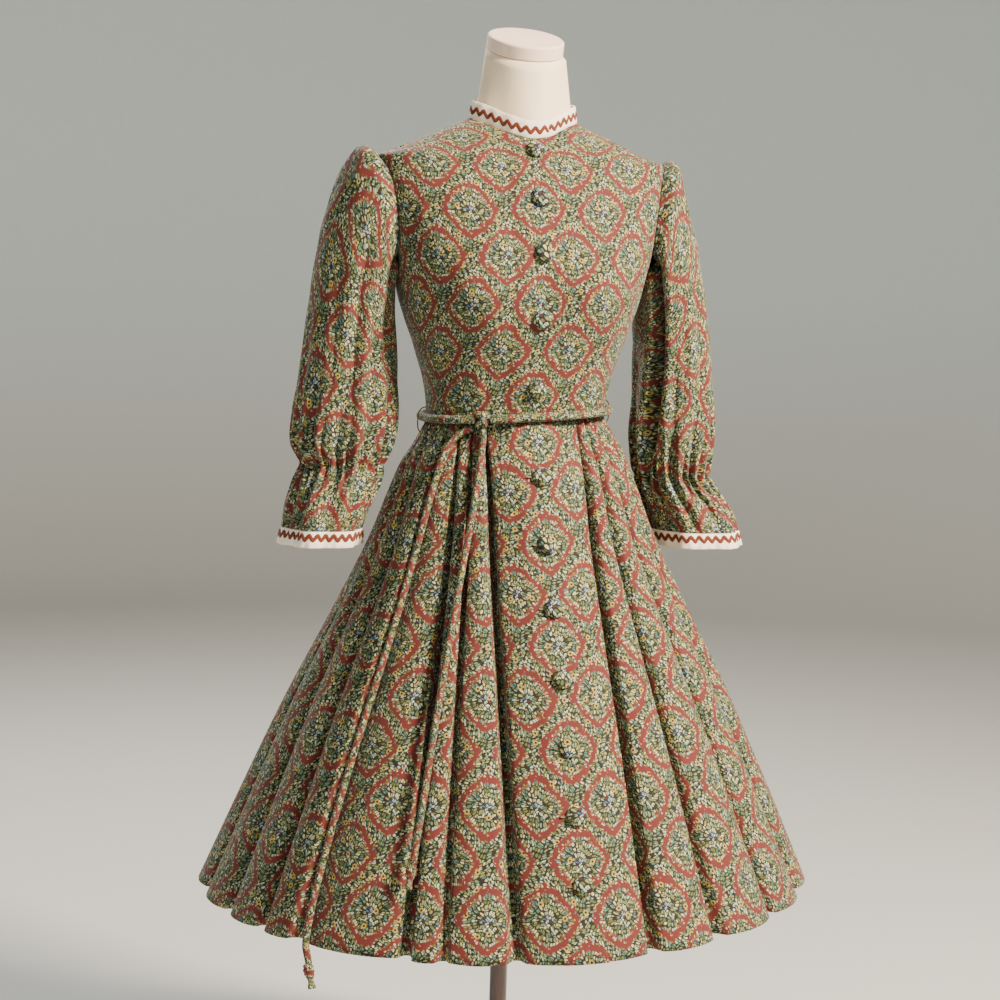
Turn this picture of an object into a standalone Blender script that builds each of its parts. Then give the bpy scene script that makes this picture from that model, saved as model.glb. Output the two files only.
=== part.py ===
"""A belted shirtwaist dress with a full pleated skirt, worn by a limbless dress form.

Metres, +Z up. The front faces -Y, the wearer's left is +X, and the origin is the middle of
the stand's underside. Angles round the body start at the front and grow towards +X.
"""

import math

import bmesh
import bpy
import numpy as np
from mathutils import Matrix, Vector
from mathutils.bvhtree import BVHTree

# Cloth, and the gaps between pieces
WALL = 0.0018  # printed cotton with its seams
BAND_WALL = 0.0016  # the white bands at the neck and the sleeve ends
SEAM_GAP = 0.0004  # between two pieces that meet at a seam
LAYER_LIFT = WALL + 0.0016  # a layer that lies on another
FORM_EASE = 0.0044  # between the cloth and the form, clear of its facets
FORM_WAIST_EASE, FORM_WAIST_REACH = 0.0105, 0.045  # more where the pleats crowd in

# The waist seam and the hem, which both hang a little lower on the wearer's right
WAIST_Z, WAIST_LEAN = 1.020, 0.060
HEM_LEAN = 0.025

# Front closing, right over left: edges measured across from the centre front
OVER_EDGE, UNDER_EDGE = 0.022, -0.014
LIFT_START, LIFT_END = -0.040, -0.020

# Upper body over the cloth, below the waist the form's hips: section half width and reach
BODY_COLUMNS = ("z", "half_width", "front", "back")
BODY_ROWS = (
    (0.780, 0.1520, 0.1120, 0.1180),
    (0.830, 0.1570, 0.1160, 0.1260),
    (0.880, 0.1530, 0.1140, 0.1270),
    (0.930, 0.1410, 0.1060, 0.1180),
    (0.980, 0.1220, 0.0960, 0.0980),
    (1.020, 0.1120, 0.0920, 0.0850),
    (1.060, 0.1170, 0.0980, 0.0880),
    (1.100, 0.1290, 0.1070, 0.0930),
    (1.140, 0.1435, 0.1150, 0.0970),
    (1.180, 0.1560, 0.1185, 0.1010),
    (1.220, 0.1660, 0.1160, 0.1040),
    (1.260, 0.1745, 0.1060, 0.1050),
    (1.300, 0.1815, 0.0910, 0.1030),
    (1.336, 0.1840, 0.0700, 0.0980),
    (1.348, 0.1573, 0.0600, 0.0965),
    (1.360, 0.1307, 0.0480, 0.0945),
    (1.372, 0.1040, 0.0375, 0.0915),
    (1.382, 0.0818, 0.0270, 0.0885),
    (1.390, 0.0640, 0.0130, 0.0860),
    (1.398, 0.0480, 0.0080, 0.0830),
)
BODY_SQUARENESS = 2.5  # 2 is an ellipse, more is squarer
BUST_RISE, BUST_Z, BUST_HEIGHT = 0.014, 1.172, 0.052
BUST_ANGLE, BUST_SPREAD = math.radians(34), math.radians(20)

# Neck line and the neck above it
NECK_BACK_Z, NECK_DROP, NECK_DROP_POWER = 1.392, 0.032, 3
NECK_TOP_Z, NECK_TOP_Y, NECK_TOP_TILT = 1.490, -0.005, 0.36
NECK_TOP_HALF_WIDTH, NECK_TOP_HALF_DEPTH = 0.0540, 0.0550
NECK_CAP_HEIGHT, NECK_CAP_ROUND = 0.018, 0.003
COLLAR_HEIGHT = 0.0215

# Armhole: a ring on the upper body that sweeps in at the front and the back
ARMHOLE_TOP_Z, ARMHOLE_BOTTOM_Z = 1.336, 1.186
ARMHOLE_SWEEP = math.radians(16)

# Rows of the bodice's panels: waist to underarm, underarm to mid armhole, on to the shoulder
ROWS_TO_UNDERARM, ROWS_TO_NECK, ROWS_TO_SHOULDER = 5, 6, 8
CHEST_Z = 1.215  # centre-front height that is level with the underarm's row
FRONT_SHARES = (0.0, 0.07, 0.14, 0.21, 0.29, 0.38, 0.48, 0.59, 0.70, 0.80, 0.90, 1.0)
BACK_SHARES = (0.0, 0.14, 0.28, 0.42, 0.56, 0.69, 0.80, 0.90, 1.0)

# Skirt at the crests of its folds, and how much of each fold's depth and width is there
SKIRT_COLUMNS = ("z", "half_width", "front", "back", "fold_share", "width_share")
SKIRT_ROWS = (
    (0.432, 0.3900, 0.3920, 0.3880, 0.85, 1.50),
    (0.555, 0.3360, 0.3330, 0.3300, 1.00, 1.25),
    (0.670, 0.2830, 0.2740, 0.2710, 1.00, 1.05),
    (0.780, 0.2255, 0.2160, 0.2130, 1.00, 0.95),
    (0.870, 0.1820, 0.1700, 0.1660, 0.95, 0.85),
    (0.925, 0.1605, 0.1480, 0.1430, 0.75, 0.70),
    (0.965, 0.1445, 0.1270, 0.1210, 0.50, 0.55),
    (0.995, 0.1255, 0.1070, 0.1010, 0.30, 0.42),
    (1.0195, 0.1122, 0.0922, 0.0852, 0.18, 0.33),
)
FOLD_EDGE_SHARE = 0.12  # how far in a fold's two edges lie, of its depth

# Folds of the skirt in order round it, from the centre front towards the wearer's left
FOLD_COLUMNS = ("waist_deg", "hem_deg", "depth", "half_width")
FOLD_ROWS = (
    (38.0, 12.5, 0.018, 0.0100),
    (45.0, 27.0, 0.008, 0.0090),
    (53.0, 44.0, 0.020, 0.0090),
    (65.0, 60.0, 0.020, 0.0095),
    (78.0, 75.0, 0.013, 0.0100),
    (91.0, 90.0, 0.015, 0.0100),
    (105.0, 104.0, 0.012, 0.0100),
    (118.0, 118.0, 0.016, 0.0095),
    (131.0, 132.0, 0.011, 0.0100),
    (144.0, 146.0, 0.016, 0.0095),
    (157.0, 159.0, 0.012, 0.0100),
    (170.0, 172.0, 0.015, 0.0095),
    (183.0, 186.0, 0.012, 0.0100),
    (196.0, 199.0, 0.016, 0.0095),
    (209.0, 213.0, 0.011, 0.0100),
    (222.0, 227.0, 0.016, 0.0095),
    (235.0, 241.0, 0.012, 0.0100),
    (247.0, 256.0, 0.014, 0.0100),
    (257.0, 271.0, 0.013, 0.0100),
    (267.0, 286.0, 0.016, 0.0100),
    (279.0, 298.0, 0.020, 0.0095),
    (296.0, 307.0, 0.010, 0.0105),
    (306.0, 329.0, 0.016, 0.0095),
    (315.0, 335.5, 0.009, 0.0080),
    (322.0, 348.0, 0.014, 0.0105),
)
FOLDS_ON_LEFT_FRONT, FOLDS_ON_RIGHT_FRONT = 6, 6
LEFT_FRONT_LINES = (UNDER_EDGE, 0.004, 0.025, 0.046)  # straight columns by the closing
RIGHT_FRONT_LINES = (LIFT_START, LIFT_END, 0.000, OVER_EDGE)

# Sleeves: rings from the armhole down, by their nearest and furthest points from the body
SLEEVE_COLUMNS = ("inner_x", "inner_z", "outer_x", "outer_z", "centre_y", "half_depth", "gather")
RIGHT_SLEEVE_ROWS = (
    (0.1610, 1.1720, 0.1960, 1.3480, 0.000, 0.056, 0.00),
    (0.1595, 1.1620, 0.2130, 1.3420, 0.004, 0.060, 0.00),
    (0.1580, 1.1450, 0.2350, 1.3000, 0.009, 0.063, 0.00),
    (0.1550, 1.1200, 0.2530, 1.2280, 0.013, 0.063, 0.00),
    (0.1520, 1.0850, 0.2640, 1.1450, 0.016, 0.062, 0.10),
    (0.1500, 1.0420, 0.2720, 1.0660, 0.017, 0.060, 0.30),
    (0.1500, 1.0050, 0.2790, 1.0100, 0.017, 0.057, 0.60),
    (0.1555, 0.9800, 0.2790, 0.9800, 0.016, 0.053, 0.85),
    (0.1660, 0.9550, 0.2690, 0.9550, 0.014, 0.047, 1.00),
    (0.1710, 0.9320, 0.2765, 0.9320, 0.010, 0.050, 0.75),
    (0.1840, 0.9040, 0.2860, 0.9040, 0.006, 0.054, 0.35),
    (0.1940, 0.8765, 0.2925, 0.8765, 0.002, 0.056, 0.00),
)
LEFT_SLEEVE_ROWS = (
    (0.1610, 1.1720, 0.1925, 1.3460, 0.000, 0.056, 0.00),
    (0.1600, 1.1620, 0.2050, 1.3360, 0.004, 0.060, 0.00),
    (0.1600, 1.1450, 0.2230, 1.2850, 0.009, 0.063, 0.00),
    (0.1630, 1.1200, 0.2440, 1.2100, 0.014, 0.063, 0.00),
    (0.1650, 1.0850, 0.2590, 1.1300, 0.017, 0.062, 0.10),
    (0.1650, 1.0400, 0.2690, 1.0500, 0.018, 0.059, 0.30),
    (0.1640, 1.0000, 0.2710, 1.0000, 0.018, 0.055, 0.60),
    (0.1665, 0.9680, 0.2690, 0.9680, 0.018, 0.050, 0.85),
    (0.1710, 0.9420, 0.2680, 0.9420, 0.018, 0.047, 1.00),
    (0.1760, 0.9220, 0.2800, 0.9220, 0.018, 0.051, 0.75),
    (0.1860, 0.8980, 0.3010, 0.8980, 0.018, 0.056, 0.35),
    (0.1965, 0.8715, 0.3130, 0.8715, 0.018, 0.060, 0.00),
)
CUFF_HEIGHT = 0.0205
SLEEVE_RING_POINTS = 30
GATHER_DEPTH = 0.0016  # every second column, in at the elastic
FLUTE_DEPTH, FLUTES = 0.0035, 6  # waves of the flared end
# Long folds of a sleeve: its turns from the outside towards the front, its height range
SLEEVE_FOLD_COLUMNS = ("top_turn", "bottom_turn", "top_z", "bottom_z", "depth")
RIGHT_SLEEVE_FOLDS = (
    (84.0, 84.0, 1.270, 1.000, 0.005),
    (132.0, 126.0, 1.300, 1.040, 0.006),
    (300.0, 290.0, 1.240, 1.000, 0.006),
)
LEFT_SLEEVE_FOLDS = (
    (117.0, 146.0, 1.290, 0.930, 0.018),
    (60.0, 66.0, 1.220, 0.990, 0.004),
    (276.0, 280.0, 1.240, 1.000, 0.006),
)

# Zigzag braid
BRAID_THICK, BRAID_GAP = 0.0009, 0.0004
BRAID_SWING, BRAID_TAPE = 0.0036, 0.0044  # up and down from its middle, and its height
COLLAR_BRAID_HEIGHT, CUFF_BRAID_DROP = 0.0090, 0.0075  # of its middle, from the print's seam
COLLAR_COLUMNS, COLLAR_BRAID_START = 34, 3  # a wave of the braid to each column

# Buttons: covered domes down the centre front
BUTTON_HEIGHTS = (
    1.345, 1.288, 1.222, 1.142, 1.056,
    0.951, 0.873, 0.801, 0.724, 0.651, 0.580, 0.509,
)
BUTTON_RADIUS, BUTTON_HEIGHT, BUTTON_GAP = 0.0120, 0.0075, 0.0004

# Rouleau belt, its knot and its two hanging ends
BELT_RADIUS, TIE_RADIUS = 0.0050, 0.0043
BELT_CLEAR, BELT_RISE = 0.0012, 0.0022
BELT_POINTS = 40
KNOT_ANGLE = math.radians(-36)
KNOT_HALF = (0.0088, 0.0075, 0.0105)  # along the belt, out from the body, and up
KNOT_GAP = 0.0004
TIE_COLUMNS = ("z", "angle_deg")
LONG_TIE_ROWS = (
    (0.4130, -48.1), (0.450, -49.5), (0.500, -50.2), (0.600, -50.9), (0.700, -51.3),
    (0.800, -52.2), (0.860, -53.2), (0.950, -53.6), (0.985, -53.7), (0.998, -51.5),
    (1.0050, -47.0), (1.0085, -42.0),
)
SHORT_TIE_ROWS = (
    (0.5300, -31.6), (0.600, -31.7), (0.700, -32.1), (0.850, -32.5), (0.900, -32.0),
    (0.945, -31.7), (0.990, -33.4), (1.0070, -35.4),
)
TIE_STEP = 0.024
TIP_KNOT_RADIUS, TIP_KNOT_LENGTH, TIP_TAIL_RADIUS, TIP_TAIL_LENGTH = 0.0068, 0.0155, 0.0042, 0.0130

# Thread loops that hold the belt at the side seams
LOOP_RADIUS = 0.0007
LOOP_ROWS = (  # out from the waist's side, and up from the waist seam
    (0.0034, 0.0185), (0.0075, 0.0170), (0.0112, 0.0110), (0.0122, 0.0035),
    (0.0122, -0.0035), (0.0118, -0.0115), (0.0086, -0.0185),
)

# Stand
POLE_RADIUS = 0.0115
BASE_RADIUS, BASE_HEIGHT, BASE_ROUND = 0.180, 0.024, 0.008
FORM_BOTTOM_Z = 0.780
STAND_GAP = 0.0003
FORM_RING_POINTS = 36
FORM_LEVELS = (0.780, 0.830, 0.890, 0.950, 1.000, 1.040, 1.090, 1.140, 1.190, 1.245, 1.300)
FORM_SHOULDER_SHARES = (0.25, 0.45, 0.62, 0.80, 1.0)

COTTON = ("#a8a07c", 0.85)
BUTTON_COTTON = ("#a39a78", 0.80)
WHITE_COTTON = ("#f6efe4", 0.75)
RUST_BRAID = ("#a0481c", 0.80)
JERSEY = ("#f3e2c6", 0.85)
CAP_JERSEY = ("#f0d9c8", 0.80)
VARNISHED_WOOD = ("#6b2c18", 0.30)
THREAD = ("#5a4636", 0.80)


def table(columns, rows):
    """Each column of the rows by its name."""
    return dict(zip(columns, np.array(rows, float).T))


BODY = table(BODY_COLUMNS, BODY_ROWS)
SKIRT = table(SKIRT_COLUMNS, SKIRT_ROWS)
FOLDS = [dict(zip(FOLD_COLUMNS, row)) for row in FOLD_ROWS]
COLLECTION = bpy.data.collections.new("shirtwaist_dress")


def clear_scene():
    for obj in list(bpy.data.objects):
        bpy.data.objects.remove(obj, do_unlink=True)
    bpy.context.scene.collection.children.link(COLLECTION)


def finish(name, look):
    """A plain material: an sRGB colour made linear, and its roughness."""
    colour, roughness = look
    srgb = [int(colour[i:i + 2], 16) / 255 for i in (1, 3, 5)]
    linear = [c / 12.92 if c <= 0.04045 else ((c + 0.055) / 1.055) ** 2.4 for c in srgb]
    material = bpy.data.materials.new(name)
    material.use_nodes = True
    shader = material.node_tree.nodes["Principled BSDF"]
    shader.inputs["Base Color"].default_value = (*linear, 1)
    shader.inputs["Roughness"].default_value = roughness
    return material


def put(name, data, look, smooth=True):
    """An object of this mesh or curve, in the dress's collection, with its own material."""
    obj = bpy.data.objects.new(name, data)
    if not data.materials:
        data.materials.append(finish(name + "_finish", look))
    COLLECTION.objects.link(obj)
    if smooth and isinstance(data, bpy.types.Mesh):
        data.shade_smooth()
    return obj


def along(rows, column, at):
    """The column's value at this z, on a curve through the rows that doesn't overshoot them."""
    x, y = rows["z"], rows[column]
    i = int(np.clip(np.searchsorted(x, at) - 1, 0, len(x) - 2))
    steps = np.diff(y) / np.diff(x)

    def slope(k):
        if k in (0, len(steps)):
            return steps[min(k, len(steps) - 1)]
        low, high = steps[k - 1], steps[k]
        return 2 * low * high / (low + high) if low * high > 0 else 0.0

    width = x[i + 1] - x[i]
    t = min(max((at - x[i]) / width, 0.0), 1.0)
    start = y[i] * (1 + 2 * t) * (1 - t) ** 2 + slope(i) * width * t * (1 - t) ** 2
    return start + y[i + 1] * t * t * (3 - 2 * t) + slope(i + 1) * width * t * t * (t - 1)


def ease(value, start, end):
    """0 at the start, 1 at the end, with soft ends."""
    t = min(max((value - start) / (end - start), 0.0), 1.0)
    return t * t * (3 - 2 * t)


FLAT = np.array((1, 1, 0))


def unit(vector):
    return vector / np.linalg.norm(vector)


# The upper body


def body_point(angle, z):
    side, ahead = math.sin(angle), math.cos(angle)
    width = along(BODY, "half_width", z)
    reach = along(BODY, "front" if ahead > 0 else "back", z)
    power = BODY_SQUARENESS
    radius = (abs(side / width) ** power + abs(ahead / reach) ** power) ** (-1 / power)
    turn = abs(math.remainder(angle, math.tau))
    rise = math.exp(-((turn - BUST_ANGLE) / BUST_SPREAD) ** 2 - ((z - BUST_Z) / BUST_HEIGHT) ** 2)
    radius += BUST_RISE * rise
    return np.array((radius * side, -radius * ahead, z))


def body_out(angle, z):
    """The way out from the upper body's surface."""
    turn, rise = 0.03, 0.003
    across = body_point(angle + turn, z) - body_point(angle - turn, z)
    up = body_point(angle, z + rise) - body_point(angle, z - rise)
    return unit(np.cross(across, up))


def overlap_lift(x):
    """How far the right front lies out, over the left front."""
    return LAYER_LIFT * ease(x, LIFT_START, LIFT_END)


def neck_z(angle):
    return NECK_BACK_Z - NECK_DROP * ((1 + math.cos(angle)) / 2) ** NECK_DROP_POWER


def waist_z(x):
    return WAIST_Z + WAIST_LEAN * x


def front_angle(x, z):
    """The angle of a straight line down the front, this far across from its centre."""
    return math.atan2(x, along(BODY, "front", z))


def armhole_place(turn):
    """(angle, z) on the armhole; the turn runs from the shoulder down the front and up the back."""
    middle = (ARMHOLE_TOP_Z + ARMHOLE_BOTTOM_Z) / 2
    half = (ARMHOLE_TOP_Z - ARMHOLE_BOTTOM_Z) / 2
    return math.pi / 2 - ARMHOLE_SWEEP * math.sin(turn), middle + half * math.cos(turn)


class Sheet:
    """An open surface: its points, the way out at each, and its triangles."""

    def __init__(self):
        self.points, self.out, self.faces, self.known = [], [], [], {}

    def point(self, place, out):
        key = tuple(np.round(place, 6))
        if key not in self.known:
            self.known[key] = len(self.points)
            self.points.append(place)
            self.out.append(out)
        return self.known[key]

    def add_grid(self, places, out, closed=False):
        """Rows run up and columns run with the angle. Points that two grids share are joined."""
        index = [
            [self.point(place, way) for place, way in zip(row, ways)]
            for row, ways in zip(places, out)
        ]
        for low, high in zip(index, index[1:]):
            for i in range(len(low) if closed else len(low) - 1):
                j = (i + 1) % len(low)
                self.add_quad(low[i], low[j], high[j], high[i])

    def add_quad(self, a, b, c, d):
        """Two triangles, split on the shorter diagonal."""
        first = np.linalg.norm(self.points[a] - self.points[c])
        second = np.linalg.norm(self.points[b] - self.points[d])
        pair = ((a, b, c), (a, c, d)) if first <= second else ((a, b, d), (b, c, d))
        self.faces.extend(face for face in pair if len(set(face)) == 3)


def cloth(name, sheet, thickness, look):
    """A wall of cloth: the sheet outside, its copy moved in, and a rim along each open edge."""
    outer = np.array(sheet.points)
    inner = outer - np.array(sheet.out) * thickness
    count = len(outer)
    edges = {(f[i], f[(i + 1) % 3]) for f in sheet.faces for i in range(3)}
    rim = [(b, a, a + count, b + count) for a, b in edges if (b, a) not in edges]
    back = [tuple(i + count for i in reversed(face)) for face in sheet.faces]
    mesh = bpy.data.meshes.new(name)
    mesh.from_pydata(np.vstack((outer, inner)).tolist(), [], sheet.faces + back + sorted(rim))
    return put(name, mesh, look)


def ways_out(grid, closed=False):
    """The way out at each place of a grid of rows that run up and columns that run round."""
    if closed:
        across = np.roll(grid, -1, axis=1) - np.roll(grid, 1, axis=1)
    else:
        across = np.gradient(grid, axis=1)
    out = np.cross(across, np.gradient(grid, axis=0))
    return out / np.linalg.norm(out, axis=2, keepdims=True)


# Bodice


def inner_edge(start_x, to_angle):
    """(angle, z) up a front's edge and on along the neck line, or up the centre back."""
    places = []
    steps = ROWS_TO_UNDERARM + ROWS_TO_NECK
    if start_x is None:
        first, top = math.pi, neck_z(math.pi)
    else:
        first = front_angle(start_x, neck_z(0))
        top = neck_z(first)
    for row in range(steps + 1):
        if row <= ROWS_TO_UNDERARM:
            z = WAIST_Z + (CHEST_Z - WAIST_Z) * row / ROWS_TO_UNDERARM
        else:
            z = CHEST_Z + (top - CHEST_Z) * (row - ROWS_TO_UNDERARM) / ROWS_TO_NECK
        angle = math.pi if start_x is None else front_angle(start_x, z)
        places.append((angle, z))
    for row in range(1, ROWS_TO_SHOULDER + 1):
        angle = first + (to_angle - first) * row / ROWS_TO_SHOULDER
        places.append((angle, neck_z(angle)))
    return places


def outer_edge(side, behind):
    """(angle, z) up the side seam and on round the front or the back of the armhole."""
    places = []
    for row in range(ROWS_TO_UNDERARM + 1):
        share = row / ROWS_TO_UNDERARM
        places.append((math.pi / 2, WAIST_Z + (ARMHOLE_BOTTOM_Z - WAIST_Z) * share))
    rest = ROWS_TO_NECK + ROWS_TO_SHOULDER
    for row in range(1, rest + 1):
        turn = math.pi * (1 + row / rest) if behind else math.pi * (1 - row / rest)
        places.append(armhole_place(turn))
    return [(side * angle, z) for angle, z in places]


def bodice_grid(inner, outer, shares, lifted=False):
    """Places and ways out at these shares of the way between two edges."""
    grid, out = [], []
    for (angle_in, z_in), (angle_out, z_out) in zip(inner, outer):
        row, ways = [], []
        for share in shares:
            angle = angle_in + (angle_out - angle_in) * share
            z = z_in + (z_out - z_in) * share
            place = body_point(angle, z)
            if z < ARMHOLE_BOTTOM_Z:  # the rows near the waist follow its lean
                sink = 1 - (z - WAIST_Z) / (ARMHOLE_BOTTOM_Z - WAIST_Z)
                place = body_point(angle, z + sink * (waist_z(place[0]) - WAIST_Z + SEAM_GAP / 2))
            way = body_out(angle, z)
            if lifted:
                lift_way = way if grid else unit(way * FLAT)  # level at the waist seam
                place = place + lift_way * overlap_lift(place[0])
            row.append(place)
            ways.append(way)
        grid.append(row)
        out.append(ways)
    return grid, out


def part_seams(grid, apart, first_row):
    """Moves the last column, and the last row's points, off their seams, towards the panel."""
    for row in grid[:first_row + 1]:
        row[-1] = row[-1] + unit(row[-2] - row[-1]) * apart
    for i, below in enumerate(grid[-2]):
        grid[-1][i] = grid[-1][i] + unit(below - grid[-1][i]) * apart
    return grid


def mirrored_order(grid, out):
    """The same grid with its columns in the other order."""
    return [row[::-1] for row in grid], [row[::-1] for row in out]


def bodice():
    left = inner_edge(UNDER_EDGE, math.pi / 2), outer_edge(1, False)
    grid, out = bodice_grid(*left, FRONT_SHARES)
    sheet = Sheet()
    sheet.add_grid(part_seams(grid, SEAM_GAP / 2, ROWS_TO_UNDERARM), out)
    cloth("bodice_front_left", sheet, WALL, COTTON)

    right = inner_edge(OVER_EDGE, -math.pi / 2), outer_edge(-1, False)
    grid, out = bodice_grid(*right, FRONT_SHARES, lifted=True)
    sheet = Sheet()
    sheet.add_grid(*mirrored_order(part_seams(grid, SEAM_GAP / 2, ROWS_TO_UNDERARM), out))
    cloth("bodice_front_right", sheet, WALL, COTTON)

    sheet = Sheet()
    for side in (1, -1):
        inner = [(side * angle, z) for angle, z in inner_edge(None, math.pi / 2)]
        grid, out = bodice_grid(inner, outer_edge(side, True), BACK_SHARES)
        grid = part_seams(grid, SEAM_GAP / 2, ROWS_TO_UNDERARM)
        if side > 0:
            grid, out = mirrored_order(grid, out)
        sheet.add_grid(grid, out)
    cloth("bodice_back", sheet, WALL, COTTON)


# Neck and collar


def neck_angles():
    """The angles of the bodice's neck line, from the collar's under end round to its over end."""
    left = front_angle(UNDER_EDGE, neck_z(0))
    right = front_angle(OVER_EDGE, neck_z(0))
    rows = ROWS_TO_SHOULDER
    front_left = [left + (math.pi / 2 - left) * i / rows for i in range(1, rows + 1)]
    back = [math.pi / 2 + math.pi * i / (2 * rows) for i in range(1, 2 * rows)]
    front_right = [
        math.tau + right - (math.pi / 2 + right) * i / rows for i in range(rows, 0, -1)
    ]
    return front_left + back + front_right


def neck_top(angle, inset=0.0):
    """On the slanted outline of the neck's top, which is lower at the front."""
    x = (NECK_TOP_HALF_WIDTH - inset) * math.sin(angle)
    y = NECK_TOP_Y - (NECK_TOP_HALF_DEPTH - inset) * math.cos(angle)
    return np.array((x, y, NECK_TOP_Z + NECK_TOP_TILT * (y - NECK_TOP_Y)))


def neck_base(angle, over=False):
    """Just above the bodice's neck line; over is for the end that laps over the other."""
    z = neck_z(angle)
    place = body_point(angle, z)
    lift = overlap_lift(place[0]) if over else 0.0
    return place + body_out(angle, z) * lift + np.array((0, 0, SEAM_GAP))


def collar():
    """The band, in even columns, and its braid from where the over end lets it be seen."""
    angles = neck_angles()
    base = [neck_base(angle, over=angle > math.pi) for angle in angles]
    rise = [unit(neck_top(angle) - neck_base(angle)) for angle in angles]
    rise = np.array(rise)
    low, rise = resampled(base, rise, COLLAR_COLUMNS + 1)
    grid = np.array((low, low + rise * COLLAR_HEIGHT))
    out = ways_out(grid)
    sheet = Sheet()
    sheet.add_grid(grid, out)
    cloth("collar_band", sheet, BAND_WALL, WHITE_COTTON)
    shown = slice(COLLAR_BRAID_START, COLLAR_COLUMNS + 1)
    middle = COLLAR_BRAID_HEIGHT / COLLAR_HEIGHT
    braid("collar_ricrac", grid[:, shown], out[:, shown], middle, closed=False)


# Braid


def resampled(row, ways, count):
    """Count places, evenly apart, along a row of places, and the ways at them."""
    row, ways = np.array(row), np.array(ways)
    runs = np.concatenate(([0], np.cumsum(np.linalg.norm(np.diff(row, axis=0), axis=1))))
    at = np.linspace(0, runs[-1], count)
    places = np.stack([np.interp(at, runs, row[:, i]) for i in range(3)], axis=1)
    out = np.stack([np.interp(at, runs, ways[:, i]) for i in range(3)], axis=1)
    return places, out / np.linalg.norm(out, axis=1, keepdims=True)


def with_middles(row, closed):
    """The row with the middle of each of its steps between its places."""
    following = np.roll(row, -1, axis=0)
    both = np.stack((row, (row + following) / 2), axis=1).reshape(-1, 3)
    return both if closed else both[:-1]


def braid(name, grid, out, middle, closed):
    """A zigzag tape on a band, a wave to each of its columns; middle is its share of the height."""
    low, high = with_middles(grid[0], closed), with_middles(grid[1], closed)
    ways = with_middles(out[0], closed)
    ways = ways / np.linalg.norm(ways, axis=1, keepdims=True)
    rise = high - low
    tall = np.linalg.norm(rise, axis=1, keepdims=True)
    rise = rise / tall
    swing = np.where(np.arange(len(low)) % 2 == 0, BRAID_SWING, -BRAID_SWING)[:, None]
    centre = low + rise * (middle * tall + swing) + ways * (BRAID_GAP + BRAID_THICK)
    half = rise * BRAID_TAPE / 2
    sheet = Sheet()
    sheet.add_grid([centre - half, centre + half], [ways, ways], closed)
    cloth(name, sheet, BRAID_THICK, RUST_BRAID)


# Sleeves


def sleeve_turns():
    return [math.tau * i / SLEEVE_RING_POINTS for i in range(SLEEVE_RING_POINTS)]


def fold_inset(folds, turn, z):
    """How far in a sleeve's long folds take the cloth here."""
    inset = 0.0
    width = math.tau / SLEEVE_RING_POINTS
    for fold in folds:
        share = (z - fold["bottom_z"]) / (fold["top_z"] - fold["bottom_z"])
        run = fold["bottom_turn"] + (fold["top_turn"] - fold["bottom_turn"]) * share
        away = math.remainder(turn - math.radians(run), math.tau) / width
        if abs(away) < 1:
            length = fold["top_z"] - fold["bottom_z"]
            rise = ease(z, fold["bottom_z"], fold["bottom_z"] + length / 4)
            fall = 1 - ease(z, fold["top_z"] - length / 3, fold["top_z"])
            inset += fold["depth"] * (1 - abs(away)) * rise * fall
    return inset


def sleeve_ring(row, folds, index):
    """One ring of a sleeve on the wearer's left, from the outside round by the front."""
    low = np.array((row["inner_x"], row["inner_z"]))
    high = np.array((row["outer_x"], row["outer_z"]))
    middle, half = (low + high) / 2, (high - low) / 2
    ring = []
    for i, turn in enumerate(sleeve_turns()):
        flare = ease(index, 9, 12) * FLUTE_DEPTH * math.cos(FLUTES * turn)
        gather = row["gather"] * GATHER_DEPTH * (-1) ** i
        x, z = middle + half * math.cos(turn)
        y = row["centre_y"] - row["half_depth"] * math.sin(turn)
        away = np.array((math.cos(turn), -math.sin(turn), 0))
        inset = fold_inset(folds, turn, z)
        ring.append(np.array((x, y, z)) + away * (flare + gather - inset))
    return ring


def cuff_row(row):
    """The ring a cuff's height below the sleeve's last ring, flared a little more."""
    low = dict(row)
    low["inner_x"] += 0.0015
    low["outer_x"] += 0.0045
    low["half_depth"] += 0.0020
    low["inner_z"] -= CUFF_HEIGHT
    low["outer_z"] -= CUFF_HEIGHT
    return low


def sleeve_side(grid, side):
    """The grid on the wearer's left as it is, or mirrored to the right, with its faces out."""
    grid = np.array(grid)
    if side < 0:
        grid = grid * np.array((-1, 1, 1))
        grid = grid[:, ::-1]
    return grid


def sleeve(word, side, rows, folds):
    rows = [dict(zip(SLEEVE_COLUMNS, row)) for row in rows]
    folds = [dict(zip(SLEEVE_FOLD_COLUMNS, fold)) for fold in folds]
    armhole = []
    for turn in sleeve_turns():
        angle, z = armhole_place(turn)
        armhole.append(body_point(angle, z) + body_out(angle, z) * SEAM_GAP)
    rings = [armhole] + [sleeve_ring(row, folds, i) for i, row in enumerate(rows, 1)]
    grid = sleeve_side(rings, side)
    out = ways_out(grid, closed=True)
    out[-1] = levelled(out[-1])
    sheet = Sheet()
    sheet.add_grid(grid, out, closed=True)
    cloth("sleeve_" + word, sheet, WALL, COTTON)

    top = np.array(rings[-1])
    low = np.array(sleeve_ring(cuff_row(rows[-1]), [], len(rows)))
    grid = sleeve_side([top - np.array((0, 0, SEAM_GAP)), low], side)
    out = levelled(ways_out(grid, closed=True))
    sheet = Sheet()
    sheet.add_grid(grid, out, closed=True)
    cloth("cuff_band_" + word, sheet, BAND_WALL, WHITE_COTTON)
    braid("cuff_ricrac_" + word, grid, out, CUFF_BRAID_DROP / CUFF_HEIGHT, closed=True)


# Skirt


def skirt_radius(angle, z):
    side, ahead = math.sin(angle), math.cos(angle)
    width = along(SKIRT, "half_width", z)
    reach = along(SKIRT, "front" if ahead > 0 else "back", z)
    return 1 / math.hypot(side / width, ahead / reach)


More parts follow.
